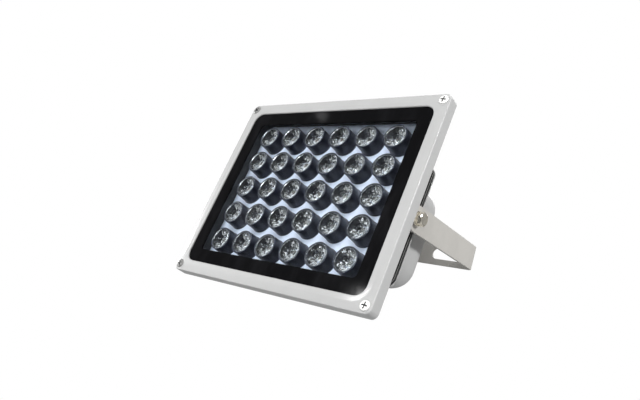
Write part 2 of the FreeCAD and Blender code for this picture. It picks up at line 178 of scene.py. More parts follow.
class Graph:
    """The node tree of a material, of the surroundings or of a repeat."""

    def __init__(self, tree: bpy.types.NodeTree) -> None:
        """Clears the tree to be built."""
        self.tree = tree
        self.tree.nodes.clear()

    def node(self, kind: str, settings: Mapping | None = None,
             inputs: Mapping | None = None) -> bpy.types.Node:
        """Adds one node.

        Args:
            kind: the node's type.
            settings: its properties, set first.
            inputs: values or links, by the sockets' names, identifiers or numbers.

        Returns:
            The node.
        """
        made = self.tree.nodes.new(kind)
        for name, setting in (settings or {}).items():
            setattr(made, name, setting)
        for key, given in (inputs or {}).items():
            self._feed(self.socket(made.inputs, key), given)
        return made

    def read(self, kind: str, output: str | int, settings: Mapping | None = None,
             inputs: Mapping | None = None) -> Value:
        """Adds one node and reads one of its outputs.

        Args:
            kind: the node's type.
            output: the output's name, identifier or number.
            settings: its properties.
            inputs: values or links.

        Returns:
            The output.
        """
        return Value(self, self.socket(self.node(kind, settings, inputs).outputs, output))

    @staticmethod
    def socket(sockets: bpy.types.bpy_prop_collection, key: str | int) -> bpy.types.NodeSocket:
        """Finds a socket by number, identifier or name.

        Args:
            sockets: a node's inputs or outputs.
            key: the socket's number, identifier or name.

        Returns:
            The socket.
        """
        if isinstance(key, int):
            return sockets[key]
        exact = [s for s in sockets if s.identifier == key]
        return exact[0] if exact else next(s for s in sockets if s.name == key and s.enabled)

    def _feed(self, socket: bpy.types.NodeSocket, given: object) -> None:
        """Links a value to a socket, or sets the socket's own number or colour.

        Args:
            socket: the socket.
            given: a value or a node to link, or else a number or a colour.
        """
        if isinstance(given, Value):
            self.tree.links.new(given.socket, socket)
        elif isinstance(given, bpy.types.Node):
            self.tree.links.new(given.outputs[0], socket)
        elif socket.type == "RGBA":
            socket.default_value = (*given, 1.0)
        else:
            socket.default_value = given

    def level(self) -> Value:
        """The surface's own coordinates, in the level head's frame."""
        given = {"Vector": self.plain(), "Location": HEAD.origin(), "Rotation": (HEAD.tilt, 0, 0)}
        return self.read("ShaderNodeMapping", 0, {"vector_type": "TEXTURE"}, given)

    def plain(self) -> Value:
        """The surface's own coordinates, in the row frame."""
        return self.read("ShaderNodeTexCoord", "Object")

    def stretched(self, vector: Value, scale: Colour) -> Value:
        """The coordinates, scaled along each axis."""
        return self.read("ShaderNodeMapping", 0, None, {"Vector": vector, "Scale": scale})

    def split(self, vector: Value) -> tuple[Value, Value, Value]:
        """The three parts of a vector."""
        made = self.node("ShaderNodeSeparateXYZ", None, {"Vector": vector})
        return tuple(Value(self, socket) for socket in made.outputs)

    def noise(self, vector: Value, scale: float, detail: float = 2.0,
              roughness: float = 0.5) -> Value:
        """Soft noise from 0 to 1.

        Args:
            vector: the coordinates.
            scale: how many lumps a metre has.
            detail: how many finer layers there are.
            roughness: how strong those are.

        Returns:
            The noise.
        """
        given = {"Vector": vector, "Scale": scale, "Detail": detail, "Roughness": roughness}
        return self.read("ShaderNodeTexNoise", 0, None, given)

    def mix(self, factor: Number, first: Colour | Value, second: Colour | Value) -> Value:
        """A colour between two others."""
        given = {"Factor_Float": factor, "A_Color": first, "B_Color": second}
        return self.read("ShaderNodeMix", "Result_Color", {"data_type": "RGBA"}, given)

    def shaded(self, factor: Value, colour: Colour, by: float) -> Value:
        """A colour that is darker or lighter by a share where the factor is 1."""
        return self.mix(factor, colour, shade(colour, by))

    def bump(self, height: Value, distance: float) -> Value:
        """A normal from a height of 0 to 1 and the depth that 1 stands for."""
        return self.read("ShaderNodeBump", 0, None, {"Height": height, "Distance": distance})

    def shader(self, inputs: Mapping) -> bpy.types.Node:
        """The principled shader with the sockets that are given."""
        return self.node("ShaderNodeBsdfPrincipled", None, inputs)

    def joined(self, factor: Number, first: bpy.types.Node,
               second: bpy.types.Node) -> bpy.types.Node:
        """Two shaders, mixed by a factor."""
        return self.node("ShaderNodeMixShader", None, {0: factor, 1: first, 2: second})


class MaterialGraph(Graph):
    """The tree of a new material."""

    def __init__(self, name: str) -> None:
        """Makes the material.

        Args:
            name: its slot, to which the finish's ending is added.
        """
        self.material = bpy.data.materials.new(name + FINISH_END)
        self.material.use_nodes = True
        super().__init__(self.material.node_tree)

    def done(self, shader: bpy.types.Node) -> bpy.types.Material:
        """Wires the shader to the output and gives the material."""
        self.node("ShaderNodeOutputMaterial", None, {"Surface": shader})
        return self.material


def shade(colour: Colour, factor: float) -> Colour:
    """A colour, darker or lighter by a factor."""
    return tuple(min(1.0, part * factor) for part in colour)


# Finishes


class Finish:
    """What a piece is dressed in. Each kind of finish wires its own surface."""

    def surface(self, g: MaterialGraph) -> bpy.types.Node:
        """Wires the surface's shader."""
        raise NotImplementedError

    def make(self, name: str) -> bpy.types.Material:
        """Makes the finish's material, named after its slot."""
        g = MaterialGraph(name)
        return g.done(self.surface(g))


@dataclass(frozen=True)
class Paint(Finish):
    """Sprayed and baked paint: a fine orange peel, a little dust and small specks."""

    colour: Colour
    roughness: float = 0.40
    peel: float = 0.02 * MM
    dust: float = 0.05
    gloss: float = 0.26

    def surface(self, g: MaterialGraph) -> bpy.types.Node:
        """Wires the paint's shader.

        Args:
            g: the new material's graph.

        Returns:
            The shader.
        """
        at = g.plain()
        cloud = g.noise(at, 38.0, 4.0, 0.6)
        speck = g.noise(at, 2600.0, 1.0).ramp(0.68, 0.76)
        tone = g.shaded(cloud.ramp(0.35, 0.75), self.colour, 1.0 - self.dust)
        tone = g.mix(speck * 0.25, tone, shade(self.colour, 0.6))
        height = g.noise(at, 620.0, 2.0) + 0.35 * g.noise(at, 2300.0, 1.0)
        wiped = g.noise(at, 95.0, 3.0, 0.6)
        return g.shader({
            "Base Color": tone,
            "Roughness": cloud.ramp(0.3, 0.8, self.roughness, self.roughness + 0.10),
            "Coat Weight": wiped.ramp(0.35, 0.65, 0.3 * self.gloss, self.gloss),
            "Coat Roughness": 0.10,
            "Normal": g.bump(height, self.peel),
        })


@dataclass(frozen=True)
class Plating(Finish):
    """Bright plated steel with fine turning marks and a few dull patches."""

    colour: Colour
    roughness: float = 0.12
    grain: float = 0.006 * MM

    def surface(self, g: MaterialGraph) -> bpy.types.Node:
        """Wires the plating's shader.

        Args:
            g: the new material's graph.

        Returns:
            The shader.
        """
        at = g.plain()
        patch = g.noise(at, 420.0, 3.0, 0.6)
        fine = g.noise(at, 5200.0, 2.0)
        tone = g.shaded(patch.ramp(0.4, 0.7), self.colour, 0.72)
        return g.shader({
            "Base Color": tone,
            "Metallic": 1.0,
            "Roughness": patch.ramp(0.35, 0.75, self.roughness, self.roughness + 0.14),
            "Normal": g.bump(fine, self.grain),
        })


@dataclass(frozen=True)
class ScrewZinc(Finish):
    """Pale dull zinc on four screws, with painted shade down in their recesses.

    The screws' places and seat are millimetres in the level head's frame. Towards is 1 where
    their heads look to the back and -1 where they look to the front. The screws on the left
    are painted darker by a share, as painted shade.
    """

    places: tuple[float, float]
    seat: float
    towards: float
    colour: Colour = (0.86, 0.86, 0.84)
    # The colour painted into the recesses as painted shade.
    dirt: Colour = (0.03, 0.03, 0.035)
    recess_reach: float = 2.9 * MM
    recess_top: float = 2.25 * MM
    # How much darker the screws on the left are painted as shade, and from where across this
    # painted shade starts.
    dulled: float = 0.0
    dull_from: float = -20.0 * MM

    def surface(self, g: MaterialGraph) -> bpy.types.Node:
        """Wires the screws' shader.

        Args:
            g: the new material's graph.

        Returns:
            The shader.
        """
        at = g.level()
        x, y, z = g.split(at)
        off_x, off_z = (abs(part) - half * MM for part, half in zip((x, z), self.places))
        # Painted shade: the cross recesses are darkened in the colour, where shade falls in them.
        inside = off_x.reach(off_z).fall(self.recess_reach, self.recess_reach + 2 * SOFT)
        height = (y - self.seat * MM) * self.towards
        sunk = height.fall(self.recess_top - 1.5 * SOFT, self.recess_top)
        dirt = inside * sunk
        patch = g.noise(at, 700.0, 3.0, 0.6)
        tone = g.shaded(patch.ramp(0.45, 0.75), self.colour, 0.82)
        # Painted shade: the screws on the left are darkened in the colour.
        dull = x.fall(self.dull_from, 0.0) * self.dulled
        tone = g.mix(dull, tone, shade(self.colour, 0.12))
        return g.shader({
            "Base Color": g.mix(dirt, tone, self.dirt),
            "Metallic": 0.2,
            "Roughness": patch.ramp(0.3, 0.8, 0.34, 0.5),
            "Normal": g.bump(g.noise(at, 3800.0, 2.0), 0.006 * MM),
        })


@dataclass(frozen=True)
class Moulding(Finish):
    """Moulded plastic or rubber: an even grain, a dusting of lint and an uneven sheen."""

    colour: Colour
    roughness: float = 0.5
    grain: float = 0.02 * MM
    grain_scale: float = 1500.0
    dust: float = 0.12
    dust_colour: Colour = (0.35, 0.34, 0.32)

    def surface(self, g: MaterialGraph) -> bpy.types.Node:
        """Wires the moulding's shader.

        Args:
            g: the new material's graph.

        Returns:
            The shader.
        """
        at = g.plain()
        cloud = g.noise(at, 90.0, 3.0, 0.6)
        grain = g.noise(at, self.grain_scale, 2.0)
        tone = g.mix(cloud.ramp(0.55, 0.85) * self.dust, self.colour, self.dust_colour)
        return g.shader({
            "Base Color": tone,
            "Roughness": cloud.ramp(0.3, 0.8, self.roughness - 0.06, self.roughness + 0.10),
            "Normal": g.bump(grain, self.grain),
        })


@dataclass(frozen=True)
class SealRubber(Finish):
    """Black rubber with a painted grey highlight along the crest of its bead."""

    colour: Colour = (0.006, 0.006, 0.0065)
    # The grey of the painted highlight along the crest.
    rubbed: Colour = (0.22, 0.22, 0.21)
    crest: float = 46.8 * MM
    crest_half: float = 0.25 * MM

    def surface(self, g: MaterialGraph) -> bpy.types.Node:
        """Wires the seal's shader.

        Args:
            g: the new material's graph.

        Returns:
            The shader.
        """
        at = g.level()
        _, y, _ = g.split(at)
        grain = g.noise(at, 1500.0, 2.0)
        # Painted highlight: a grey line painted into the colour along the crest of the bead.
        line = abs(y - self.crest).fall(self.crest_half, self.crest_half + 1.5 * SOFT)
        return g.shader({
            "Base Color": g.mix(line, self.colour, self.rubbed),
            "Roughness": grain.ramp(0.3, 0.7, 0.45, 0.6),
            "Specular IOR Level": 0.12,
            "Normal": g.bump(grain, 0.02 * MM),
        })


@dataclass(frozen=True)
class Window(Finish):
    """The flat glass with a black border printed round its clear middle.

    Light on its way to the array goes straight through, and only the view is bent.
    """

    clear_half: tuple[float, float] = (89.7 * MM, 68.6 * MM)
    corner: float = 4.0 * MM
    ink: Colour = (0.004, 0.004, 0.0045)
    ink_index: float = 1.16
    index: float = 1.5
    passed: Colour = (0.96, 0.98, 1.0)
    bent: Colour = (0.965, 0.985, 1.0)

    def surface(self, g: MaterialGraph) -> bpy.types.Node:
        """Wires the window's shader.

        Args:
            g: the new material's graph.

        Returns:
            The shader.
        """
        at = g.level()
        x, _, z = g.split(at)
        over_x = (abs(x) - (self.clear_half[0] - self.corner)).most(0.0)
        over_z = (abs(z) - (self.clear_half[1] - self.corner)).most(0.0)
        printed = over_x.reach(over_z).ramp(self.corner - SOFT, self.corner + SOFT)
        smear = g.noise(g.stretched(at, (1.0, 1.0, 0.35)), 60.0, 4.0, 0.65)
        ink = g.shader({
            "Base Color": g.shaded(smear.ramp(0.4, 0.8), self.ink, 2.2),
            "Roughness": smear.ramp(0.3, 0.8, 0.05, 0.11),
            "IOR": self.ink_index,
            "Specular IOR Level": 0.22,
        })
        bare = g.node("ShaderNodeBsdfTransparent", None, {"Color": self.passed})
        bent = g.node("ShaderNodeBsdfRefraction", None, {"Color": self.bent, "IOR": self.index})
        gloss = g.node("ShaderNodeBsdfGlossy", None, {"Color": WHITE, "Roughness": 0.02})
        edge = g.read("ShaderNodeLayerWeight", "Fresnel", None, {"Blend": 0.12})
        clear = g.joined((edge * 0.3 + smear.ramp(0.45, 0.8) * 0.010).least(1.0), bent, gloss)
        path = g.node("ShaderNodeLightPath")
        lit = Value(g, path.outputs["Is Shadow Ray"]).most(Value(g, path.outputs["Is Diffuse Ray"]))
        return g.joined(printed, g.joined(lit, clear, bare), ink)


@dataclass(frozen=True)
class ArrayGrid:
    """The emitters' places in the level head's frame."""

    columns: int = 6
    rows: int = 5
    across: float = 29.0 * MM
    up: float = 27.5 * MM

    def local(self, g: Graph) -> tuple[Value, Value, Value]:
        """Coordinates from the nearest emitter's axis.

        Args:
            g: the material's graph.

        Returns:
            The distance across and up from that axis, and the depth in the head.
        """
        x, y, z = g.split(g.level())
        return x.cell(self.across, self.columns / 2), z.cell(self.up, self.rows / 2), y


@dataclass(frozen=True)
class LensResin(Finish):
    """Clear moulded lens with fine upright facets on its cone."""

    tint: Colour = (0.95, 0.955, 0.95)
    index: float = 1.49
    facets: int = 22
    facet_depth: float = 0.35 * MM
    cone_start: float = 6.2 * MM
    flange: float = 9.15 * MM
    flange_back: float = 4.85 * MM
    frost: float = 0.16
    grid: ArrayGrid = ArrayGrid()

    def surface(self, g: MaterialGraph) -> bpy.types.Node:
        """Wires the lens's shader.

        Args:
            g: the new material's graph.

        Returns:
            The shader.
        """
        u, v, y = self.grid.local(g)
        around = (v.turn(u) * (self.facets / 2)).sine()
        behind = y.ramp(self.cone_start, self.cone_start + 0.4 * MM)
        clear = g.shader({
            "Base Color": self.tint,
            "Roughness": 0.03,
            "IOR": self.index,
            "Transmission Weight": 1.0,
            "Normal": g.bump(around * behind * 0.5 + 0.5, self.facet_depth),
        })
        rim = u.reach(v).ramp(self.flange - SOFT, self.flange + SOFT)
        front = y.fall(self.flange_back, self.flange_back + SOFT)
        milky = g.node("ShaderNodeBsdfDiffuse", None, {"Color": self.tint})
        return g.joined(rim * front * self.frost, clear, milky)


@dataclass(frozen=True)
class CupPlastic(Finish):
    """The lens cups' dark plastic, with a paler line round the foot."""

    colour: Colour = (0.009, 0.010, 0.018)
    foot: Colour = (0.12, 0.13, 0.20)
    foot_depth: float = 16.9 * MM

    def surface(self, g: MaterialGraph) -> bpy.types.Node:
        """Wires the cups' shader.

        Args:
            g: the new material's graph.

        Returns:
            The shader.
        """
        at = g.level()
        _, y, _ = g.split(at)
        cloud = g.noise(at, 260.0, 3.0, 0.6)
        foot = y.ramp(self.foot_depth - 0.25 * MM, self.foot_depth)
        tone = g.shaded(cloud.ramp(0.45, 0.8), self.colour, 2.2)
        return g.shader({
            "Base Color": g.mix(foot * 0.7, tone, self.foot),
            "Roughness": cloud.ramp(0.3, 0.8, 0.32, 0.48),
            "Specular IOR Level": 0.32,
            "Normal": g.bump(g.noise(at, 1400.0, 2.0), 0.02 * MM),
        })


@dataclass(frozen=True)
class SolderMask(Finish):
    """A pale circuit board: faint tracks between the emitters and a soft weave."""

    colour: Colour = (0.84, 0.89, 1.0)
    track: Colour = (0.89, 0.93, 1.0)
    track_half: float = 2.4 * MM
    grid: ArrayGrid = ArrayGrid()

    def surface(self, g: MaterialGraph) -> bpy.types.Node:
        """Wires the board's shader.

        Args:
            g: the new material's graph.

        Returns:
            The shader.
        """
        at = g.level()
        _, v, _ = self.grid.local(g)
        cloud = g.noise(at, 120.0, 3.0)
        line = abs(v).fall(self.track_half - SOFT, self.track_half + SOFT)
        weave = g.noise(g.stretched(at, (1.0, 1.0, 2.0)), 1800.0, 1.0)
        tone = g.shaded(cloud.ramp(0.35, 0.75), self.colour, 0.93)
        return g.shader({
            "Base Color": g.mix(line * 0.6, tone, self.track),
            "Roughness": cloud.ramp(0.3, 0.8, 0.38, 0.52),
            "Normal": g.bump(line * 0.6 + weave * 0.3, 0.03 * MM),
        })


@dataclass(frozen=True)
class EmitterPackage(Finish):
    """A small square package: a pale rim round a dark chip under clear resin."""

    body: Colour = (0.55, 0.53, 0.46)
    chip: Colour = (0.05, 0.03, 0.028)
    chip_radius: float = 1.7 * MM
    grid: ArrayGrid = ArrayGrid()

    def surface(self, g: MaterialGraph) -> bpy.types.Node:
        """Wires the packages' shader.

        Args:
            g: the new material's graph.

        Returns:
            The shader.
        """
        u, v, _ = self.grid.local(g)
        middle = u.reach(v).fall(self.chip_radius - SOFT, self.chip_radius + SOFT)
        grain = g.noise(g.level(), 3000.0, 2.0)
        body = g.shaded(grain.ramp(0.4, 0.7), self.body, 0.9)
        return g.shader({
            "Base Color": g.mix(middle, body, self.chip),
            "Roughness": middle.ramp(0.0, 1.0, 0.45, 0.12),
            "Normal": g.bump(middle + grain * 0.1, 0.1 * MM),
        })


@dataclass(frozen=True)
class DriverBoard(Finish):
    """Green solder mask with plain tinned pads in rows."""

    mask: Colour = (0.02, 0.13, 0.05)
    pad: Colour = (0.62, 0.62, 0.58)
    pitch: float = 7.0 * MM
    pad_radius: float = 1.1 * MM

    def surface(self, g: MaterialGraph) -> bpy.types.Node:
        """Wires the driver board's shader.

        Args:
            g: the new material's graph.

        Returns:
            The shader.
        """
        x, _, z = g.split(g.level())
        off = x.cell(self.pitch).reach(z.cell(self.pitch))
        pad = off.fall(self.pad_radius - SOFT, self.pad_radius + SOFT)
        wide = g.noise(g.level(), 140.0, 2.0).ramp(0.48, 0.56)
        tone = g.shaded(wide, self.mask, 1.7)
        return g.shader({
            "Base Color": g.mix(pad, tone, self.pad),
            "Metallic": pad * 0.9,
            "Roughness": wide.ramp(0.0, 1.0, 0.35, 0.45),
            "Normal": g.bump(pad * 0.6 + wide * 0.2, 0.05 * MM),
        })


@dataclass(frozen=True)
class Banded(Finish):
    """A wrapped or jointed surface: bands along one axis of the head."""

    colour: Colour
    band: Colour
    pitch: float
    roughness: float
    share: float
    axis: int = 1

    def surface(self, g: MaterialGraph) -> bpy.types.Node:
        """Wires the banded shader.

        Args:
            g: the new material's graph.

        Returns:
            The shader.
        """
        at = g.level()
        along = (g.split(at)[self.axis] / self.pitch).fraction()
        line = abs(along - 0.5).fall(self.share / 2, self.share / 2 + 0.05)
        grain = g.noise(at, 1200.0, 2.0)
        tone = g.shaded(grain.ramp(0.4, 0.7), self.colour, 0.88)
        return g.shader({
            "Base Color": g.mix(line, tone, self.band),
            "Roughness": grain.ramp(0.3, 0.7, self.roughness, self.roughness + 0.1),
            "Normal": g.bump(line * 0.7 + grain * 0.2, 0.1 * MM),
        })


class Finishes:
    """Every finish of the lamp, made once and shared."""

    def __init__(self) -> None:
        """Makes the materials."""
        self.grey_paint = Paint((0.416, 0.418, 0.416)).make("grey_paint")
        self.bracket_paint = Paint(
            (0.438, 0.425, 0.400), roughness=0.44, peel=0.025 * MM, dust=0.08, gloss=0.1,
        ).make("bracket_paint")
        self.window_glass = Window().make("window_glass")
        self.silicone = Moulding((0.42, 0.42, 0.40)).make("silicone")
        self.black_rubber = Moulding(
            (0.018, 0.018, 0.019), roughness=0.55, grain=0.03 * MM).make("black_rubber")
        self.seal_rubber = SealRubber().make("black_rubber")
        self.black_liner = Moulding(
            (0.011, 0.010, 0.010), roughness=0.38, grain=0.015 * MM, grain_scale=900.0, dust=0.04,
        ).make("black_liner")
        self.board_white = SolderMask().make("board_white")
        self.holder_black = CupPlastic().make("holder_black")
        self.clear_lens = LensResin().make("clear_lens")
        self.emitter = EmitterPackage().make("emitter")
        self.plated_steel = Plating((0.98, 0.93, 0.81)).make("plated_steel")
        self.frame_zinc = ScrewZinc(
            FRAME_SCREWS, FRAME_SEAT, towards=-1.0, dulled=0.85).make("plated_steel")
        self.box_zinc = ScrewZinc(BOX_SCREWS, BOX_SEAT, towards=1.0).make("plated_steel")
        self.nylon = Moulding((0.74, 0.73, 0.68), roughness=0.45).make("nylon")
        self.gland_black = Moulding(
            (0.02, 0.02, 0.02), roughness=0.42, grain_scale=1100.0).make("gland_black")
        self.driver_green = DriverBoard().make("driver_green")
        self.coil_tape = Banded(
            (0.70, 0.55, 0.08), (0.10, 0.09, 0.08), pitch=9.0 * MM, roughness=0.35, share=0.2,
        ).make("coil_tape")
        self.capacitor_sleeve = Banded(
            (0.02, 0.022, 0.035), (0.35, 0.35, 0.36), pitch=25.0 * MM, roughness=0.3, share=0.08,
        ).make("capacitor_sleeve")
        self.terminal_green = Banded(
            (0.06, 0.32, 0.16), (0.01, 0.06, 0.03), pitch=5.2 * MM, roughness=0.35, share=0.12,
            axis=2,
        ).make("terminal_green")
        self.lead_sleeve = Moulding((0.45, 0.03, 0.025), roughness=0.4).make("lead_sleeve")


# Mesh making. The sizes here are millimetres, and the meshes are metres.

SHARP = 34.0  # degrees between two faces from which their edge stays sharp
WELD = 0.0005  # how near two points are one
TURN_STEPS = 4  # facets of the turn at a ring
CORNER_STEPS = 8  # facets of a rectangle's round corner
DRILL_SIDES = 24


class Body(Enum):
    """The two bodies that move against each other."""

    HEAD = "head"
    BRACKET = "bracket"


class Cut(Enum):
    """What a tool does to a solid."""

    AWAY = "DIFFERENCE"
    COMMON = "INTERSECT"


def new_object(name: str, data: bpy.types.ID) -> bpy.types.Object:
    """An object in the scene, at the origin.

    Args:
        name: its name.
        data: its mesh, lamp or camera.

    Returns:
        The object.
    """
    made = bpy.data.objects.new(name, data)
    bpy.context.scene.collection.objects.link(made)
    return made


def settled(obj: bpy.types.Object, name: str) -> bpy.types.Mesh:
    """The plain mesh that an object's live modifiers give.

    Args:
        obj: the object, which is left as it is.
        name: the new mesh's name.

    Returns:
        The evaluated mesh.
    """
    graph = bpy.context.evaluated_depsgraph_get()
    mesh = bpy.data.meshes.new_from_object(obj.evaluated_get(graph), depsgraph=graph)
    mesh.name = name
    return mesh


def dress(obj: bpy.types.Object, finish: bpy.types.Material) -> bpy.types.Object:
    """Gives an object its only material.

    Args:
        obj: the object.
        finish: the material.

    Returns:
        The object.
    """
    obj.data.materials.clear()
    obj.data.materials.append(finish)
    return obj


def dress_node(node: str, finish: bpy.types.Material) -> None:
    """Gives a CAD node its finish and says so."""
    dress(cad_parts[node], finish)
    log.info("dressed %s in %s", node, finish.name)


def register(obj: bpy.types.Object, body: Body, node: str) -> None:
    """Fixes a new piece to its body and hides the CAD node that it stands for.

    Args:
        obj: the finished piece.
        body: the body that it moves with.
        node: the CAD node that it replaces.
    """
    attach(obj, body.value)
    obj.data.materials[0].name.split(FINISH_END)[0]
    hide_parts(node)
    log.info("built %s: %d faces", obj.name, len(obj.data.polygons))


def soften(mesh: bpy.types.Mesh, sharp: float = SHARP) -> bpy.types.Mesh:
    """Shades a mesh smooth, but for the edges that turn by more than an angle in degrees.

    Args:
        mesh: the mesh, which is changed.
        sharp: the angle.

    Returns:
        The mesh.
    """
    mesh.shade_smooth()
    mesh.set_sharp_from_angle(angle=math.radians(sharp))
    return mesh


def mesh_from(work: bmesh.types.BMesh, name: str, sharp: float = SHARP) -> bpy.types.Mesh:
    """Turns a work mesh into a smooth one.

    Args:
        work: the work mesh, which is freed.
        name: the mesh's name.
        sharp: from what angle an edge stays sharp, in degrees.

    Returns:
        The mesh.
    """
    mesh = bpy.data.meshes.new(name)
    work.to_mesh(mesh)
    work.free()
    return soften(mesh, sharp)


def add_piece(node: str, mesh: bpy.types.Mesh, finish: bpy.types.Material,
              body: Body = Body.HEAD) -> None:
    """Puts a mesh in its place instead of a CAD node.

    Args:
        node: the CAD node that it replaces.
        mesh: the mesh, drawn in the level head's frame, or in the row frame for the bracket.
        finish: its material.
        body: the body that it moves with.
    """
    if body is Body.HEAD:
        mesh.transform(HEAD.matrix())
    draft = new_object(node + "_draft", mesh)
    weighted = draft.modifiers.new("normals", "WEIGHTED_NORMAL")
    weighted.keep_sharp = True
    piece = new_object(node + "_piece", settled(draft, node + "_piece"))
    bpy.data.objects.remove(draft)
    register(dress(piece, finish), body, node)


def skin(loops: Sequence[Sequence[Vector]], closed: bool) -> bmesh.types.BMesh:
    """Spans a surface over loops that have as many points each.

    Args:
        loops: the loops' points in millimetres, in order.
        closed: whether the last loop joins the first; else both ends are capped.

    Returns:
        The work mesh, with faces outwards.
    """
    work = bmesh.new()
    rings = [[work.verts.new(point * MM) for point in loop] for loop in loops]
    pairs = list(zip(rings, rings[1:]))
    if closed:
        pairs.append((rings[-1], rings[0]))
    else:
        for end in (rings[0], rings[-1]):
            work.faces.new(end)
    for near, far in pairs:
        for k in range(len(near)):
            after = (k + 1) % len(near)
            work.faces.new([near[k], near[after], far[after], far[k]])
    bmesh.ops.remove_doubles(work, verts=work.verts, dist=WELD * MM)
    bmesh.ops.recalc_face_normals(work, faces=work.faces)
    return work


def lathe(profile: Sequence[tuple[float, ...]], sides: int,
          closed: bool = False) -> bmesh.types.BMesh:
    """Turns a profile round the Y axis.

    Args:
        profile: radius and depth of each point. A third number makes the ring a hexagon of that
            half width, and a fourth says how steeply its corners fall beyond the radius.
        sides: how many sides the turned shape has.
        closed: whether the last point joins the first, as on a ring.

    Returns:
        The work mesh.
    """
    turns = [2 * math.pi * k / sides for k in range(sides)]
    loops = []
    for radius, depth, *hexagon in profile:
        loop = []
        for a in turns:
            reach = hexagon[0] / math.cos((a % (math.pi / 3)) - math.pi / 6) if hexagon else radius
            fall = max(0.0, reach - radius) * hexagon[1] if hexagon else 0.0
            loop.append(Vector((reach * math.cos(a), depth + fall, reach * math.sin(a))))
        loops.append(loop)
    return skin(loops, closed)


def rod(name: str, radius: float, near: float, far: float,
        sides: int = DRILL_SIDES) -> bpy.types.Mesh:
    """A plain round bar along the Y axis, such as a drill's."""
    profile = [(0.0, near), (radius, near), (radius, far), (0.0, far)]
    return mesh_from(lathe(profile, sides), name)


@dataclass(frozen=True)
class Ring:
    """A rectangle with round corners at one depth, and how softly the surface turns there."""

    half_x: float
    half_z: float
    corner: float
    depth: float
    soft: float = 0.25

    def numbers(self) -> Vector:
        """The ring's four sizes."""
        return Vector((self.half_x, self.half_z, self.corner, self.depth))

    def grown(self, by: float, depth: float, soft: float = 0.25) -> "Ring":
        """The ring, larger all round, at another depth."""
        return Ring(self.half_x + by, self.half_z + by, self.corner + by, depth, soft)


def softened(rings: Sequence[Ring], closed: bool) -> list[Vector]:
    """Rounds the turns of a surface that is given by its rings.

    Args:
        rings: the rings, in order.
        closed: whether the last ring joins the first.

    Returns:
        The sizes of all the rings, with those of the turns.
    """
    found: list[Vector] = []
    for k, ring in enumerate(rings):
        here = ring.numbers()
        if not closed and k in (0, len(rings) - 1):
            found.append(here)
            continue
        ends = []
        for other in (rings[k - 1].numbers(), rings[(k + 1) % len(rings)].numbers()):
            run = other - here
            ends.append(here + run * (min(ring.soft, 0.45 * run.length) / run.length))
        for step in range(TURN_STEPS + 1):
            t = step / TURN_STEPS
            found.append(ends[0].lerp(here, t).lerp(here.lerp(ends[1], t), t))
    return found


def loft(rings: Sequence[Vector], closed: bool) -> bmesh.types.BMesh:
    """Spans a surface over rectangles with round corners.

    Args:
        rings: half width, half height, corner and depth of each.
        closed: whether the last ring joins the first.

    Returns:
        The work mesh.
    """
    loops = []
    for half_x, half_z, corner, depth in rings:
        loop = []
        for sx, sz, start in ((1, 1, 0), (-1, 1, 90), (-1, -1, 180), (1, -1, 270)):
            for k in range(CORNER_STEPS + 1):
                turn = math.radians(start + 90 * k / CORNER_STEPS)
                x = sx * (half_x - corner) + corner * math.cos(turn)
                loop.append(Vector((x, depth, sz * (half_z - corner) + corner * math.sin(turn))))
        loops.append(loop)
    return skin(loops, closed)


def shell(name: str, rings: Sequence[Ring], closed: bool = True) -> bpy.types.Mesh:
    """The mesh over rings with softened turns, closed in itself or capped at both ends."""
    return mesh_from(loft(softened(rings, closed), closed), name)


def merged(name: str, meshes: Sequence[bpy.types.Mesh]) -> bpy.types.Mesh:
    """Several meshes as one.

    Args:
        name: the new mesh's name.
        meshes: the meshes, which are left as they are.

    Returns:
        The new mesh.
    """
    work = bmesh.new()
    for mesh in meshes:
        work.from_mesh(mesh)
    return mesh_from(work, name)


def moved(mesh: bpy.types.Mesh, matrix: Matrix) -> bpy.types.Mesh:
    """A copy of a mesh in another place.

    Args:
        mesh: the mesh.
        matrix: how the copy is moved.

    Returns:
        The copy.
    """
    copy = mesh.copy()
    copy.transform(matrix)
    return copy


def at_corners(mesh: bpy.types.Mesh, half_x: float, half_z: float) -> bpy.types.Mesh:
    """A mesh, set at the four corners of a rectangle in millimetres."""
    places = [Vector((sx * half_x, 0, sz * half_z)) * MM for sx in (-1, 1) for sz in (-1, 1)]
    return merged(mesh.name + "_four", [moved(mesh, Matrix.Translation(place)) for place in places])


def both_sides(mesh: bpy.types.Mesh) -> bpy.types.Mesh:
    """A right-hand mesh, drawn along +Y, turned to +X and to -X at the pivot's depth.

    Args:
        mesh: the mesh.

    Returns:
        The pair as one mesh.
    """
    hung = Matrix.Translation((0, HEAD.pivot_depth, 0))
    turns = [hung @ Matrix.Rotation(side * math.pi / 2, 4, "Z") for side in (-1, 1)]
    return merged(mesh.name + "_pair", [moved(mesh, turn) for turn in turns])


def carve(base: bpy.types.Mesh, tool: bpy.types.Mesh, cut: Cut) -> bpy.types.Mesh:
    """Changes one solid by another.

    Args:
        base: the solid that is kept.
        tool: the solid that cuts it.
        cut: what the tool does.

    Returns:
        The changed solid.
    """
    blank = new_object(base.name + "_blank", base)
    cutter = new_object(base.name + "_cutter", tool)
    change = blank.modifiers.new("carve", "BOOLEAN")
    change.operation = cut.value
    change.solver = "EXACT"
    change.object = cutter
    mesh = settled(blank, base.name)
    for spent in (blank, cutter):
        bpy.data.objects.remove(spent)
    return soften(mesh)


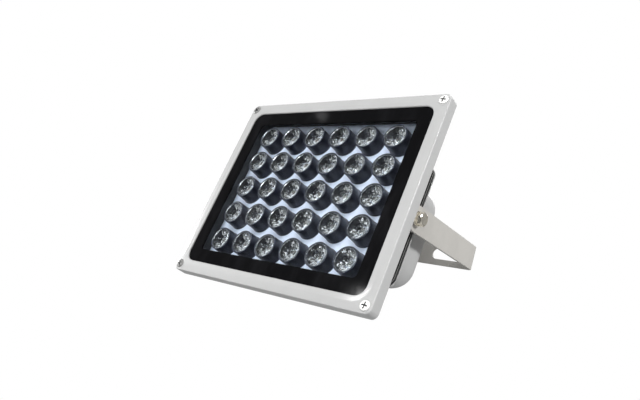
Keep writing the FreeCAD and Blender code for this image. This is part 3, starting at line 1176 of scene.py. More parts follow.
@dataclass(frozen=True)
class Repeat:
    """A Geometry Nodes tree that sets a piece on a grid in the head and tilts all with the head."""

    columns: int = 2
    rows: int = 2
    across: float = 0.0
    up: float = 0.0
    depth: float = 0.0
    turn_each: float = 0.0
    spin: float = 0.0
    seed: int = 7

    INPUTS = (
        ("Piece", "Object"), ("Columns", "Int"), ("Rows", "Int"), ("Across", "Float"),
        ("Up", "Float"), ("Depth", "Float"), ("Turn each", "Float"), ("Spin", "Float"),
        ("Seed", "Int"), ("Head place", "Vector"), ("Head tilt", "Float"), ("Finish", "Material"),
    )

    def tree(self) -> bpy.types.NodeTree:
        """The tree, which is built once and shared.

        Returns:
            The tree.
        """
        made = bpy.data.node_groups.get("repeat_on_grid")
        if made:
            return made
        made = bpy.data.node_groups.new("repeat_on_grid", "GeometryNodeTree")
        sockets = [("Geometry", "INPUT", "Geometry"), ("Geometry", "OUTPUT", "Geometry")]
        sockets[1:1] = [(name, "INPUT", kind) for name, kind in self.INPUTS]
        for name, side, kind in sockets:
            made.interface.new_socket(name, in_out=side, socket_type="NodeSocket" + kind)
        self._wire(Graph(made))
        return made

    @staticmethod
    def _wire(g: Graph) -> None:
        """Wires the tree's nodes.

        Args:
            g: the cleared tree.
        """
        given = g.node("NodeGroupInput")
        need = {name: Value(g, g.socket(given.outputs, name)) for name, _ in Repeat.INPUTS}
        points = g.read("GeometryNodeMeshGrid", "Mesh", None, {
            "Size X": (need["Columns"] - 1.0) * need["Across"],
            "Size Y": (need["Rows"] - 1.0) * need["Up"],
            "Vertices X": need["Columns"],
            "Vertices Y": need["Rows"],
        })
        offset = g.read("ShaderNodeCombineXYZ", 0, None, {"Y": need["Depth"]})
        upright = g.read("GeometryNodeTransform", 0, None, {
            "Geometry": points, "Rotation": (math.pi / 2, 0, 0), "Translation": offset})
        index = g.read("GeometryNodeInputIndex", 0)
        random = g.read("FunctionNodeRandomValue", "Value_001", {"data_type": "FLOAT"}, {
            "Max_001": need["Spin"], "ID": index, "Seed": need["Seed"]})
        turn = g.read("ShaderNodeCombineXYZ", 0, None, {
            "Y": random, "Z": index * need["Turn each"]})
        piece = g.read("GeometryNodeObjectInfo", "Geometry", None, {
            "Object": need["Piece"], "As Instance": True})
        copies = g.read("GeometryNodeInstanceOnPoints", 0, None, {
            "Points": upright, "Instance": piece, "Rotation": turn})
        tilt = g.read("ShaderNodeCombineXYZ", 0, None, {"X": need["Head tilt"]})
        hung = g.read("GeometryNodeTransform", 0, None, {
            "Geometry": copies, "Rotation": tilt, "Translation": need["Head place"]})
        real = g.read("GeometryNodeRealizeInstances", 0, None, {"Geometry": hung})
        dressed = g.read("GeometryNodeSetMaterial", 0, None, {
            "Geometry": real, "Material": need["Finish"]})
        g.node("NodeGroupOutput", None, {0: dressed})

    def make(self, name: str, piece: bpy.types.Mesh,
             finish: bpy.types.Material) -> bpy.types.Object:
        """Sets the piece on the grid and bakes the whole to one plain mesh.

        Args:
            name: the new object's name.
            piece: the mesh to repeat, drawn at the level head's origin.
            finish: the material.

        Returns:
            The object, with the copies in its mesh.
        """
        pattern = dress(new_object(name + "_pattern", piece), finish)
        host = new_object(name + "_host", bpy.data.meshes.new(name + "_host"))
        nodes = host.modifiers.new("repeat", "NODES")
        nodes.node_group = self.tree()
        given = {key.replace("_", " ").capitalize(): number for key, number in asdict(self).items()}
        given |= {"Piece": pattern, "Head place": tuple(HEAD.origin()), "Head tilt": HEAD.tilt,
                  "Finish": finish}
        for item in nodes.node_group.interface.items_tree:
            if item.in_out == "INPUT" and item.name in given:
                nodes[item.identifier] = given[item.name]
        made = new_object(name, settled(host, name))
        for spent in (host, pattern):
            bpy.data.objects.remove(spent)
        return made

    def place(self, node: str, piece: bpy.types.Mesh, finish: bpy.types.Material) -> None:
        """Sets the copies in the head instead of a CAD node.

        Args:
            node: the CAD node that they replace.
            piece: the mesh to repeat.
            finish: the material.
        """
        register(self.make(node + "_piece", piece, finish), Body.HEAD, node)


def set_screws(node: str, mesh: bpy.types.Mesh, finish: bpy.types.Material,
               places: tuple[float, float], seat: float, seed: int = 7) -> None:
    """Sets a screw at the four corners of a rectangle, each turned by chance.

    Args:
        node: the CAD node that the screws replace.
        mesh: the screw.
        finish: its material.
        places: half the distance between the screws, across and up.
        seat: the depth at which the heads sit.
        seed: the seed of the turns.
    """
    across, up = (2 * half * MM for half in places)
    repeat = Repeat(across=across, up=up, depth=seat * MM, spin=math.pi / 2, seed=seed)
    repeat.place(node, mesh, finish)


@dataclass(frozen=True)
class PanScrew:
    """A pan-head screw with a cross recess, drawn with its head towards -Y and its seat at 0."""

    # The head's outline: shares of its radius and of its height.
    DOME = ((0.0, 1.0), (0.62, 0.985), (0.84, 0.92), (0.95, 0.80), (0.99, 0.62), (1.0, 0.40),
            (1.0, 0.06), (0.97, 0.0))

    head_radius: float = 4.0
    head_height: float = 2.4
    shank_radius: float = 2.0
    length: float = 10.0
    thread_pitch: float = 0.7
    thread_depth: float = 0.25
    recess_reach: float = 3.0
    recess_half: float = 0.6
    recess_depth: float = 1.5
    sides: int = 32

    def mesh(self, name: str) -> bpy.types.Mesh:
        """The screw's mesh.

        Args:
            name: its name.

        Returns:
            The mesh.
        """
        profile = [(out * self.head_radius, -self.head_height * up) for out, up in self.DOME]
        profile.append((self.shank_radius, 0.0))
        for k in range(int(self.length / self.thread_pitch) - 1):
            profile.append((self.shank_radius, (k + 0.55) * self.thread_pitch))
            profile.append((self.shank_radius - self.thread_depth, (k + 1.0) * self.thread_pitch))
        profile += [(self.shank_radius - 2 * self.thread_depth, self.length), (0.0, self.length)]
        return carve(mesh_from(lathe(profile, self.sides), name), self._cross(name), Cut.AWAY)

    def _cross(self, name: str) -> bpy.types.Mesh:
        """The recess's solid: a cross that narrows with depth.

        Args:
            name: the screw's name.

        Returns:
            The solid.
        """
        a, b = self.recess_reach, self.recess_half
        plan = [
            (a, b), (b, b), (b, a), (-b, a), (-b, b), (-a, b),
            (-a, -b), (-b, -b), (-b, -a), (b, -a), (b, -b), (a, -b),
        ]
        above, tip_share = 0.5, 0.55
        levels = (
            (-self.head_height - above, 1.0), (self.recess_depth - self.head_height, tip_share))
        loops = [
            [Vector((x * share, depth, z * share)) for x, z in plan] for depth, share in levels]
        return mesh_from(skin(loops, False), name + "_cross")


# The lamp's sub-assemblies


@dataclass
class LampFront:
    """The painted frame, its window with the seal, and the four screws."""

    finishes: Finishes
    outer: Ring = Ring(112.5, 92.5, 5.0, 11.2, 0.3)
    window: Ring = Ring(102.3, 81.3, 9.5, 1.4, 0.1)
    inside: Ring = Ring(110.3, 90.3, 2.8, 11.2, 0.2)
    sink_radius: float = 4.15
    fall: float = 0.7
    edge_round: float = 1.3
    lip: float = 4.6
    lip_bevel: float = 0.6
    pocket: float = 5.0
    rim: float = 6.0

    def build(self) -> None:
        """Builds and dresses the front."""
        add_piece("front_bezel", self._frame(), self.finishes.grey_paint)
        dress_node("window_glass", self.finishes.window_glass)
        dress_node("glass_seal", self.finishes.silicone)
        screw = PanScrew().mesh("bezel_screw")
        set_screws("bezel_screws", screw, self.finishes.frame_zinc, FRAME_SCREWS, FRAME_SEAT)

    def _frame(self) -> bpy.types.Mesh:
        """The frame: skirt, sloping face, lip, pocket for the glass, and sunk screw places.

        Returns:
            The mesh.
        """
        window = self.window
        rings = [
            self.outer,
            self.outer.grown(0.0, self.fall, self.edge_round),
            window.grown(self.lip, 0.0, 0.6),
            window.grown(self.lip_bevel, 0.0, 0.3),
            window.grown(0.0, self.lip_bevel, 0.2),
            window,
            window.grown(self.pocket, window.depth, 0.1),
            window.grown(self.pocket, self.rim, 0.1),
            self.inside.grown(0.0, self.rim, 0.4),
            self.inside,
        ]
        sink, start, back = self.sink_radius, -2.0, self.outer.depth + 1.0
        drill = [(0.0, start), (sink, start), (sink, FRAME_SEAT), (CLEARANCE, FRAME_SEAT),
                 (CLEARANCE, back), (0.0, back)]
        drills = at_corners(mesh_from(lathe(drill, 32), "drill"), *FRAME_SCREWS)
        return carve(shell("front_bezel", rings), drills, Cut.AWAY)


@dataclass
class EmitterArray:
    """The board with its emitters, cups, lenses and black liner."""

    finishes: Finishes
    grid: ArrayGrid = ArrayGrid()
    front: float = 4.6
    back: float = 17.3
    liner: Ring = Ring(97.4, 77.7, 9.5, 17.3, 0.2)
    liner_wall: float = 2.0
    lens_radius: float = 9.65
    cup_radius: float = 10.0
    sides: int = 40

    def build(self) -> None:
        """Builds and dresses the array."""
        dress_node("led_board", self.finishes.board_white)
        dress_node("led_emitters", self.finishes.emitter)
        liner = self.liner
        rings = [
            liner,
            liner.grown(0.0, self.front, 0.5),
            liner.grown(-self.liner_wall, self.front, 0.5),
            liner.grown(-self.liner_wall, self.back),
        ]
        add_piece("inner_frame", shell("inner_frame", rings), self.finishes.black_liner)
        grid = self.grid
        repeat = Repeat(grid.columns, grid.rows, grid.across, grid.up, self.front * MM)
        repeat.place("lens_holders", self._cup(), self.finishes.holder_black)
        repeat.place("lenses", self._lens(), self.finishes.clear_lens)

    def _cup(self) -> bpy.types.Mesh:
        """The round cup: a lip round the lens, a stepped bore and a foot on the board.

        Returns:
            The mesh.
        """
        r, bore = self.cup_radius, self.lens_radius
        depth = self.back - self.front
        profile = [
            (bore + 0.1, 0.2), (bore + 0.25, 0.0), (r + 0.85, 0.0), (r + 1.1, 0.3), (r + 1.15, 1.6),
            (r + 1.35, depth - 0.9), (r + 1.75, depth - 0.6), (r + 1.75, depth), (4.3, depth),
            (6.1, 10.0), (bore - 0.15, 1.75), (bore + 0.1, 1.6),
        ]
        return mesh_from(lathe(profile, self.sides, True), "lens_cup", 30.0)

    def _lens(self) -> bpy.types.Mesh:
        """The lens: a dished front, a flat rim, a curved cone and a well for the emitter.

        Returns:
            The mesh.
        """
        r = self.lens_radius
        front = [
            (0.0, 0.45), (1.0, 0.52), (1.9, 0.75), (2.6, 1.15), (3.0, 1.6), (3.25, 1.55),
            (3.5, 0.6), (4.4, 0.42), (6.2, 0.25), (8.2, 0.12), (8.7, 0.1), (8.95, 0.0),
            (r - 0.2, 0.0), (r, 0.2), (r, 1.4),
        ]
        cone = [
            (r - 0.45, 1.75), (r - 1.1, 3.2), (r - 1.9, 4.8), (r - 2.8, 6.4), (6.5, 7.9),
            (5.55, 9.3), (5.2, 9.8),
        ]
        well = [(3.5, 9.8), (3.2, 6.8), (2.4, 6.25), (1.3, 5.85), (0.0, 5.7)]
        return mesh_from(lathe(front + cone + well, self.sides), "lens", 30.0)


@dataclass
class RearHousing:
    """The finned casting and the ribbed seal behind it."""

    finishes: Finishes
    tray: Ring = Ring(97.7, 78.0, 9.5, 6.0)
    flange: Ring = Ring(110.0, 90.0, 7.0, 6.0, 0.2)
    wall: float = 3.0
    flange_back: float = 11.2
    floor_front: float = 18.9
    floor_back: float = 22.4
    pedestal: Ring = Ring(84.0, 51.0, 6.0, 22.4, 2.5)
    collar_front: float = 38.5
    back: float = 44.5
    collar_lap: float = 3.0
    opening: Ring = Ring(78.5, 45.5, 6.0, 44.5, 0.3)
    fins: int = 15
    fin_pitch: float = 11.0
    fin_half: float = 1.0
    fin_round: float = 0.5
    post_places: tuple[float, float] = (52.0, 24.0)
    bead: Ring = Ring(89.3, 55.5, 9.0, 49.7, 0.3)
    bead_height: float = 0.9

    def build(self) -> None:
        """Builds and dresses the housing."""
        body = merged("rear_housing", [self._casting(), self._bosses(), self._fins()])
        add_piece("rear_housing", body, self.finishes.grey_paint)
        add_piece("housing_gasket", self._gasket(), self.finishes.seal_rubber)

    def _casting(self) -> bpy.types.Mesh:
        """The tray with its flange and floor, and the pedestal with its collar.

        Returns:
            The mesh.
        """
        pedestal = self.pedestal
        rings = [
            self.tray.grown(-2.0, self.floor_front),
            self.tray.grown(0.0, self.floor_front, 1.0),
            self.tray,
            self.flange,
            self.flange.grown(0.0, self.flange_back, 0.4),
            self.tray.grown(self.wall, self.flange_back, 1.2),
            self.tray.grown(self.wall, self.floor_back, 1.5),
            pedestal,
            pedestal.grown(0.0, self.collar_front, 1.2),
            pedestal.grown(self.collar_lap, self.collar_front, 0.7),
            pedestal.grown(self.collar_lap, self.back, 0.4),
            self.opening,
            self.opening.grown(0.0, self.collar_front),
            pedestal.grown(-self.wall, self.collar_front),
            pedestal.grown(-self.wall, self.floor_back, 1.0),
            pedestal.grown(-self.wall - 1.5, self.floor_back),
        ]
        tools = [
            at_corners(rod("front_drill", THREAD, 5.0, 12.0), *FRAME_SCREWS),
            at_corners(rod("rear_drill", THREAD, 41.7, 45.5), *BOX_SCREWS),
            both_sides(rod("side_drill", 5.0, 78.0, 90.0)),
            rod("lead_drill", 6.0, 17.0, 24.0, 32),
        ]
        return carve(shell("rear_housing", rings, False), merged("drills", tools), Cut.AWAY)

    def _bosses(self) -> bpy.types.Mesh:
        """The bosses of the pivots and the screws, and the posts of the driver.

        Returns:
            All of them as one mesh.
        """
        pivot = [
            (0.0, 79.4), (7.4, 79.4), (7.4, 92.9), (6.9, 93.4), (3.05, 93.4), (3.05, 81.1),
            (0.0, 81.1),
        ]
        screw = [
            (THREAD, 8.0), (4.4, 8.0), (4.4, 14.0), (3.9, 14.5), (0.0, 14.5), (0.0, 12.0),
            (THREAD, 12.0),
        ]
        inside = shell("limit", [self.flange.grown(-0.1, depth) for depth in (7.0, 16.0)], False)
        bosses = at_corners(mesh_from(lathe(screw, DRILL_SIDES), "screw_boss"), *FRAME_SCREWS)
        return merged("bosses", [
            both_sides(mesh_from(lathe(pivot, 40), "pivot_boss")),
            carve(bosses, inside, Cut.COMMON),
            at_corners(rod("post", 3.5, 21.5, 52.4), *self.post_places),
        ])

    def _fins(self) -> bpy.types.Mesh:
        """The upright fins above and below the pedestal, in the level head's frame.

        Returns:
            The mesh.
        """
        side = [
            (20.65, 49.5), (20.65, 79.0), (22.4, 79.0), (39.4, 70.5), (40.4, 69.0), (40.4, 49.5),
        ]
        pair = []
        for sign in (1, -1):
            faces = (-self.fin_half, self.fin_half)
            work = skin([[Vector((x, y, sign * z)) for y, z in side] for x in faces], False)
            long = [edge for edge in work.edges if edge.calc_length() > 2.5 * self.fin_half * MM]
            bmesh.ops.bevel(
                work, geom=long, offset=self.fin_round * MM, segments=2, affect="EDGES",
                profile=0.5)
            pair.append(mesh_from(work, "fin"))
        repeat = Repeat(self.fins, 1, self.fin_pitch * MM, 0.0)
        made = repeat.make("fins", merged("fin_pair", pair), self.finishes.grey_paint)
        mesh = made.data.copy()
        mesh.transform(HEAD.matrix().inverted())
        mesh.materials.clear()
        bpy.data.objects.remove(made)
        return mesh

    def _gasket(self) -> bpy.types.Mesh:
        """The seal between the housing and the rear box, with a bead all round.

        Returns:
            The mesh.
        """
        bead, low = self.bead, self.bead.grown(-self.bead_height, self.back)
        rings = [
            low, low.grown(0.0, 45.5), bead.grown(0.0, 45.8, 0.4), bead.grown(0.0, 47.8, 0.4),
            low.grown(0.0, 48.1), low.grown(0.0, bead.depth), self.opening.grown(0.0, bead.depth),
            self.opening,
        ]
        drills = at_corners(rod("seal_drill", CLEARANCE, 43.0, 50.0), *BOX_SCREWS)
        return carve(shell("housing_gasket", rings), drills, Cut.AWAY)


@dataclass
class RearBox:
    """The driver's housing, its screws, the driver inside it and the cable gland."""

    finishes: Finishes
    flange: Ring = Ring(89.3, 55.5, 9.0, 49.7, 0.2)
    block: Ring = Ring(82.0, 47.0, 20.0, BOX_SEAT, 1.2)
    round_edge: float = 20.0
    wall: float = 3.0
    back: float = 94.6
    arc_steps: int = 8
    gland_depth: float = 71.0
    gland_seat: float = 48.2
    seat_height: float = 1.2
    seat_radius: float = 10.5
    gland_hex: float = 8.5
    sides: int = 72

    def build(self) -> None:
        """Builds and dresses the rear box."""
        add_piece("rear_box", self._cover(), self.finishes.grey_paint)
        screw = PanScrew(length=9.0).mesh("box_screw")
        screw.transform(Matrix.Rotation(math.pi, 4, "Z"))
        set_screws("box_screws", screw, self.finishes.box_zinc, BOX_SCREWS, BOX_SEAT, 3)
        for node, finish in (
            ("driver_board", self.finishes.driver_green),
            ("driver_coil", self.finishes.coil_tape),
            ("driver_capacitor", self.finishes.capacitor_sleeve),
            ("terminal_block", self.finishes.terminal_green),
            ("feed_leads", self.finishes.lead_sleeve),
            ("gland_seal", self.finishes.black_rubber),
        ):
            dress_node(node, finish)
        self._gland()

    def _dome(self, wall: float) -> list[Vector]:
        """The rings of the block's large round edges, from its upright sides to its back.

        Args:
            wall: how far inside the block the rings lie.

        Returns:
            The rings' sizes.
        """
        radius = self.round_edge - wall
        middle = self.back - self.round_edge
        rings = []
        for step in range(self.arc_steps + 1):
            turn = math.pi / 2 * step / self.arc_steps
            reach = radius * math.cos(turn)
            by = reach - self.round_edge
            half = (self.block.half_x + by, self.block.half_z + by)
            rings.append(Vector((*half, reach, middle + radius * math.sin(turn))))
        return rings

    def _cover(self) -> bpy.types.Mesh:
        """The cover with its flange, its round back, its hollow and the gland's seat.

        Returns:
            The mesh.
        """
        block, flange = self.block, self.flange
        start = block.depth + 2.5
        rim = [
            block.grown(-self.wall, flange.depth + 2.0), block.grown(-self.wall, flange.depth, 0.2),
            flange, flange.grown(0.0, block.depth, 0.5), block, block.grown(0.0, start),
        ]
        inner = self._dome(self.wall)[::-1]
        body = mesh_from(loft(inner + softened(rim, False) + self._dome(0.0), False), "rear_box")
        down = self._below()
        inner_radius, outer, top, edge = 6.05, self.seat_radius, self.seat_height, 0.3
        boss = mesh_from(lathe([
            (inner_radius, -4.0), (outer, -4.0), (outer, top - edge), (outer - edge, top),
            (inner_radius, top),
        ], 48, True), "gland_seat")
        bore = rod("gland_drill", 8.0, -9.0, 5.0, 32)
        for piece in (boss, bore):
            piece.transform(down)
        holes = at_corners(rod("box_drill", CLEARANCE, 48.0, 52.0), *BOX_SCREWS)
        body = carve(body, merged("drills", [bore, holes]), Cut.AWAY)
        return merged("rear_box", [body, boss])

    def _below(self) -> Matrix:
        """The matrix that turns +Y down and starts at the box's underside."""
        place = Vector((0, self.gland_depth, self.seat_height - self.gland_seat)) * MM
        return Matrix.Translation(place) @ Matrix.Rotation(-math.pi / 2, 4, "X")

    def _gland(self) -> None:
        """The gland's body and cap nut."""
        flat = self.gland_hex
        turned = flat * 1.03
        body = [
            (4.2, -5.6), (5.6, -5.8), (6.0, -5.2), (6.0, 1.2), (turned, 1.2),
            (turned, 1.5, flat, 0.5), (turned, 5.9, flat, -0.5), (turned, 6.2), (7.0, 6.2),
            (7.0, 14.9), (6.7, 15.2), (5.2, 15.2), (5.2, 6.2), (4.2, 6.2),
        ]
        nut = [
            (7.05, 6.4), (turned, 6.4), (turned, 6.8, flat, 0.5), (turned, 12.2, flat, -0.4),
            (8.3, 12.6), (8.1, 13.6), (7.4, 15.2), (6.2, 16.4), (5.4, 16.9), (4.8, 16.9),
            (4.6, 16.6), (4.6, 15.4), (7.05, 15.2),
        ]
        for node, profile in (("gland_body", body), ("gland_nut", nut)):
            mesh = mesh_from(lathe(profile, self.sides, True), node)
            mesh.transform(self._below())
            add_piece(node, mesh, self.finishes.gland_black)


@dataclass
class Pivots:
    """The bolts and washers on the two sides, drawn along +Y from the pivot's centre."""

    finishes: Finishes
    face: float = 97.1
    boss_end: float = 93.4
    bolt_end: float = 81.4
    bolt_apothem: float = 5.0
    bolt_head: float = 4.0
    bolt_radius: float = 3.0
    bolt_plain: float = 4.0
    thread_pitch: float = 1.0
    thread_depth: float = 0.45
    chamfer: float = math.radians(28.0)
    flat_thickness: float = 1.0
    friction_thickness: float = 1.0
    spring_thickness: float = 1.5
    flat_radii: tuple[float, float] = (3.28, 6.0)
    friction_radii: tuple[float, float] = (3.08, 8.0)
    spring_radii: tuple[float, float] = (3.28, 5.4)
    washer_edge: float = 0.15
    split_angle: float = math.radians(14.0)
    split_rise: float = 0.12
    split_play: float = 0.15
    spring_steps: int = 40
    sides: int = 72

    def build(self) -> None:
        """Builds and dresses the pivots."""
        steel = self.finishes.plated_steel
        flat = self._washer("flat_washer", self.flat_radii, self.face, self.flat_thickness)
        friction = self._washer(
            "friction_washer", self.friction_radii, self.boss_end, self.friction_thickness)
        pair = Repeat(2, 1, depth=HEAD.pivot_depth, turn_each=math.pi)
        for node, mesh, finish in (
            ("flat_washers", flat, steel),
            ("friction_washers", friction, self.finishes.nylon),
            ("spring_washers", self._spring(), steel),
            ("pivot_bolts", self._bolt(), steel),
        ):
            mesh.transform(Matrix.Rotation(math.pi / 2, 4, "Z"))
            pair.place(node, mesh, finish)

    def _washer(self, name: str, radii: tuple[float, float], near: float,
                thickness: float) -> bpy.types.Mesh:
        """A flat ring with broken edges.

        Args:
            name: its name.
            radii: its inner and outer radius.
            near: where it begins.
            thickness: how thick it is.

        Returns:
            The mesh.
        """
        inner, outer = radii
        far, edge = near + thickness, self.washer_edge
        profile = [
            (inner, near + edge), (inner + edge, near), (outer - edge, near), (outer, near + edge),
            (outer, far - edge), (outer - edge, far), (inner + edge, far), (inner, far - edge),
        ]
        return mesh_from(lathe(profile, self.sides, True), name)

    def _spring(self) -> bpy.types.Mesh:
        """The split spring washer, with one end a little proud.

        Returns:
            The mesh.
        """
        inner, outer = self.spring_radii
        start = self.face + self.flat_thickness
        loops = []
        for k in range(self.spring_steps + 1):
            share = k / self.spring_steps
            angle = math.pi / 2 + self.split_angle / 2 + share * (2 * math.pi - self.split_angle)
            near = start + self.split_rise * share
            far = near + self.spring_thickness - self.split_play
            corners = ((inner, near), (outer, near), (outer, far), (inner, far))
            cos, sin = math.cos(angle), math.sin(angle)
            loops.append([Vector((-r * cos, y, r * sin)) for r, y in corners])
        return mesh_from(skin(loops, False), "spring_washer", 50.0)

    def _bolt(self) -> bpy.types.Mesh:
        """The hexagon bolt: a head with a turned chamfer, a washer face and a threaded shank.

        Returns:
            The mesh.
        """
        seat = self.face + self.flat_thickness + self.spring_thickness
        top = seat + self.bolt_head
        flat = self.bolt_apothem
        turned, radius = flat * 0.97, self.bolt_radius
        depth = self.face - self.bolt_plain
        profile = [
            (0.0, top - 0.15), (turned * 0.82, top - 0.15), (turned * 0.90, top), (turned, top),
            (turned, top, flat, -math.tan(self.chamfer)), (turned, seat + 0.3, flat, 0.0),
            (turned, seat + 0.3), (turned, seat), (radius, seat), (radius, depth),
        ]
        while depth - self.thread_pitch > self.bolt_end:
            profile.append((radius - self.thread_depth, depth - self.thread_pitch / 2))
            depth -= self.thread_pitch
            profile.append((radius, depth))
        profile += [(radius - 0.6, self.bolt_end), (0.0, self.bolt_end)]
        return mesh_from(lathe(profile, self.sides), "pivot_bolt", 25.0)


@dataclass
class Bracket:
    """The folded bar that carries the head."""

    finishes: Finishes
    half_width: float = 97.0
    arm: float = 110.0
    bar_half: float = 11.0
    thickness: float = 2.5
    outer_bend: float = 4.5
    edge: float = 0.4
    slot: Ring = Ring(18.0, 5.25, 5.25, -0.4)
    slot_place: float = 71.5
    hole: Ring = Ring(5.25, 5.25, 5.25, -0.4)
    pivot_radius: float = 3.08
    steps: int = 9

    def build(self) -> None:
        """Builds and dresses the bracket."""
        half = self._half_path()
        path = half + [(-x, y, -nx, ny, width) for x, y, nx, ny, width in reversed(half)]
        body = mesh_from(skin([self._section(*place) for place in path], False), "bracket")
        pivot = rod("pivot_drill", self.pivot_radius, -100.0, 100.0, 32)
        place = Matrix.Translation((0, -self.arm * MM, 0))
        pivot.transform(place @ Matrix.Rotation(math.pi / 2, 4, "Z"))
        tools = [pivot, self._opening(self.hole, 0.0)]
        tools += [self._opening(self.slot, side * self.slot_place) for side in (-1, 1)]
        body = carve(body, merged("drills", tools), Cut.AWAY)
        add_piece("bracket", body, self.finishes.bracket_paint, Body.BRACKET)

    def _half_path(self) -> list[tuple[float, float, float, float, float]]:
        """The right half of the bar's middle line: place, outward direction and half width.

        Returns:
            The five numbers of each place, from the arm's end to the base.
        """
        x = self.half_width - self.thickness / 2
        path = []
        for step in range(self.steps, -1, -1):
            turn = math.pi / 2 * step / self.steps
            half = max(self.bar_half * math.cos(turn), 0.1)
            path.append((x, -self.arm - self.bar_half * math.sin(turn), 1.0, 0.0, half))
        bend = self.outer_bend - self.thickness / 2
        for step in range(self.steps + 1):
            turn = math.pi / 2 * step / self.steps
            cos, sin = math.cos(turn), math.sin(turn)
            x = self.half_width - self.outer_bend + bend * cos
            path.append((x, bend * sin - self.outer_bend, cos, sin, self.bar_half))
        return path

    def _section(self, x: float, y: float, out_x: float, out_y: float, half: float) -> list[Vector]:
        """The bar's section with rounded edges at one place of its path.

        Args:
            x: the place across.
            y: the place along the arms.
            out_x: the outward direction across.
            out_y: the outward direction along the arms.
            half: the bar's half width.

        Returns:
            The section's points.
        """
        edge = min(self.edge, half / 2)
        thick = self.thickness / 2
        loop = []
        for sn, sz in ((1, 1), (-1, 1), (-1, -1), (1, -1)):
            turns = [0.0, math.pi / 4, math.pi / 2]
            if sn * sz < 0:
                turns.reverse()
            for turn in turns:
                n = sn * (thick - edge + edge * math.cos(turn))
                z = sz * (half - edge + edge * math.sin(turn))
                loop.append(Vector((x + n * out_x, y + n * out_y, z)))
        return loop

    def _opening(self, ring: Ring, x: float) -> bpy.types.Mesh:
        """A tool for a slot or a hole through the base, with broken edges.

        Args:
            ring: the opening's outline.
            x: its place across.

        Returns:
            The tool.
        """
        back, bevel, past = -self.thickness, 0.5, 0.1
        rings = [
            ring.grown(bevel, past), ring, ring.grown(0.0, back - ring.depth),
            ring.grown(bevel, back - past),
        ]
        mesh = mesh_from(loft([r.numbers() for r in rings], False), "opening")
        mesh.transform(Matrix.Translation((x * MM, 0, 0)))
        return mesh


# The studio


@dataclass(frozen=True)
class AreaLamp:
    """A soft white rectangular lamp that looks at a point."""

    place: tuple[float, float, float]
    aim: tuple[float, float, float]
    size: tuple[float, float]
    power: float

    def make(self, name: str) -> None:
        """Sets up the lamp.

        Args:
            name: its name.
        """
        data = bpy.data.lights.new(name, "AREA")
        data.shape = "RECTANGLE"
        data.size, data.size_y = self.size
        data.energy = self.power
        place = Vector(self.place)
        turn = (Vector(self.aim) - place).to_track_quat("-Z", "Y").to_matrix()
        new_object(name, data).matrix_world = Matrix.Translation(place) @ turn.to_4x4()


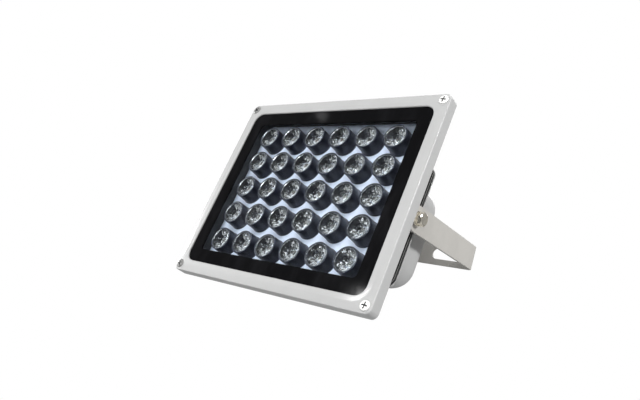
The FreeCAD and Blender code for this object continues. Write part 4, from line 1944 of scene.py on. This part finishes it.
@dataclass
class Studio:
    """Floor, surroundings, lamps and camera."""

    floor_height: float = -0.42
    floor_half: float = 6.0
    ambient: float = 0.30
    floor_colour: Colour = (0.34, 0.34, 0.34)
    floor_white: float = 0.97
    floor_fade: tuple[float, float] = (0.35, 0.75)
    camera_place: tuple[float, float, float] = (0.33993337, -0.48453406, -0.11224796)
    camera_axes: tuple[Colour, Colour, Colour] = (
        (0.74158492, 0.60717984, 0.28527961),
        (-0.08208705, -0.33992197, 0.93686433),
        (0.66581794, -0.71818222, -0.20223941),
    )
    focal_length: float = 32.778408
    sensor_width: float = 36.0
    clip_start: float = 0.01
    shift: tuple[float, float] = (0.0072059, 0.0250490)
    lamps: dict[str, AreaLamp] = field(default_factory=lambda: {
        "key_lamp": AreaLamp((0.45, -1.95, 0.95), (0, -0.13, 0), (1.3, 0.8), 31.5),
        "top_lamp": AreaLamp((0.0, -0.25, 2.0), (0, -0.13, 0), (0.8, 0.4), 17.0),
        "side_lamp": AreaLamp((1.7, 0.15, 0.75), (0, -0.1, 0), (0.35, 0.35), 27.5),
        "front_lamp": AreaLamp((0.1, -1.7, -0.15), (0, -0.13, 0), (0.5, 0.5), 7.0),
        "corner_lamp": AreaLamp(
            (-0.711, -1.195, 0.391), (0.105, -0.159, -0.078), (0.06, 0.06), 1.8),
        "window_lamp": AreaLamp(
            (-0.942, -0.844, 0.853), (-0.015, -0.133, 0.082), (0.03, 0.03), 0.025),
        "left_lamp": AreaLamp((-1.9, -0.6, 0.25), (0, -0.13, 0), (0.4, 0.4), 15.5),
        "back_lamp": AreaLamp((-0.6, 1.4, 1.2), (0, -0.1, 0), (1.0, 1.0), 12.0),
    })

    def build(self) -> None:
        """Builds the studio."""
        self._floor()
        self._world()
        for name, lamp in self.lamps.items():
            lamp.make(name)
        self._camera()
        bpy.context.scene.view_settings.view_transform = "Standard"

    @staticmethod
    def _seen(g: Graph) -> Value:
        """1 where a ray comes straight from the camera, and else 0."""
        return g.read("ShaderNodeLightPath", "Is Camera Ray")

    def _floor(self) -> None:
        """The pale floor, which keeps the lamp's shadow."""
        work = bmesh.new()
        reach = self.floor_half
        corners = [(-reach, -reach), (reach, -reach), (reach, reach), (-reach, reach)]
        work.faces.new([work.verts.new((x, y, self.floor_height)) for x, y in corners])
        floor = new_object("floor", mesh_from(work, "floor"))
        g = MaterialGraph("floor")
        grain = g.noise(g.plain(), 40.0, 3.0)
        tone = g.shaded(grain, self.floor_colour, 0.98)
        matt = g.node("ShaderNodeBsdfDiffuse", None, {"Color": tone})
        white = g.node("ShaderNodeEmission", None, {"Color": WHITE, "Strength": 1.0})
        x, y, _ = g.split(g.plain())
        away = x.reach(y).ramp(*self.floor_fade, self.floor_white, 1.0)
        dress(floor, g.done(g.joined(self._seen(g) * away, matt, white)))

    def _world(self) -> None:
        """White surroundings for what looks at them, and softer light for the rest."""
        world = bpy.data.worlds.new("surroundings")
        world.use_nodes = True
        bpy.context.scene.world = world
        g = Graph(world.node_tree)
        soft = g.node("ShaderNodeBackground", None, {"Color": WHITE, "Strength": self.ambient})
        white = g.node("ShaderNodeBackground", None, {"Color": WHITE, "Strength": 1.0})
        g.node("ShaderNodeOutputWorld", None, {"Surface": g.joined(self._seen(g), soft, white)})

    def _camera(self) -> None:
        """The camera at the photograph's place."""
        data = bpy.data.cameras.new("camera")
        data.lens = self.focal_length
        data.sensor_width = self.sensor_width
        data.shift_x, data.shift_y = self.shift
        data.clip_start = self.clip_start
        made = new_object("camera", data)
        turn = Matrix(self.camera_axes).transposed()
        made.matrix_world = Matrix.Translation(self.camera_place) @ turn.to_4x4()
        bpy.context.scene.camera = made


def main() -> None:
    """Builds the lamp and the studio."""
    logging.basicConfig(level=logging.INFO, format="%(name)s: %(message)s", stream=sys.stdout)
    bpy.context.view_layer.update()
    finishes = Finishes()
    for part in (
        LampFront(finishes), EmitterArray(finishes), RearHousing(finishes), RearBox(finishes),
        Pivots(finishes), Bracket(finishes), Studio(),
    ):
        part.build()
        log.info("finished %s", type(part).__name__)


if __name__ == "__main__":
    main()
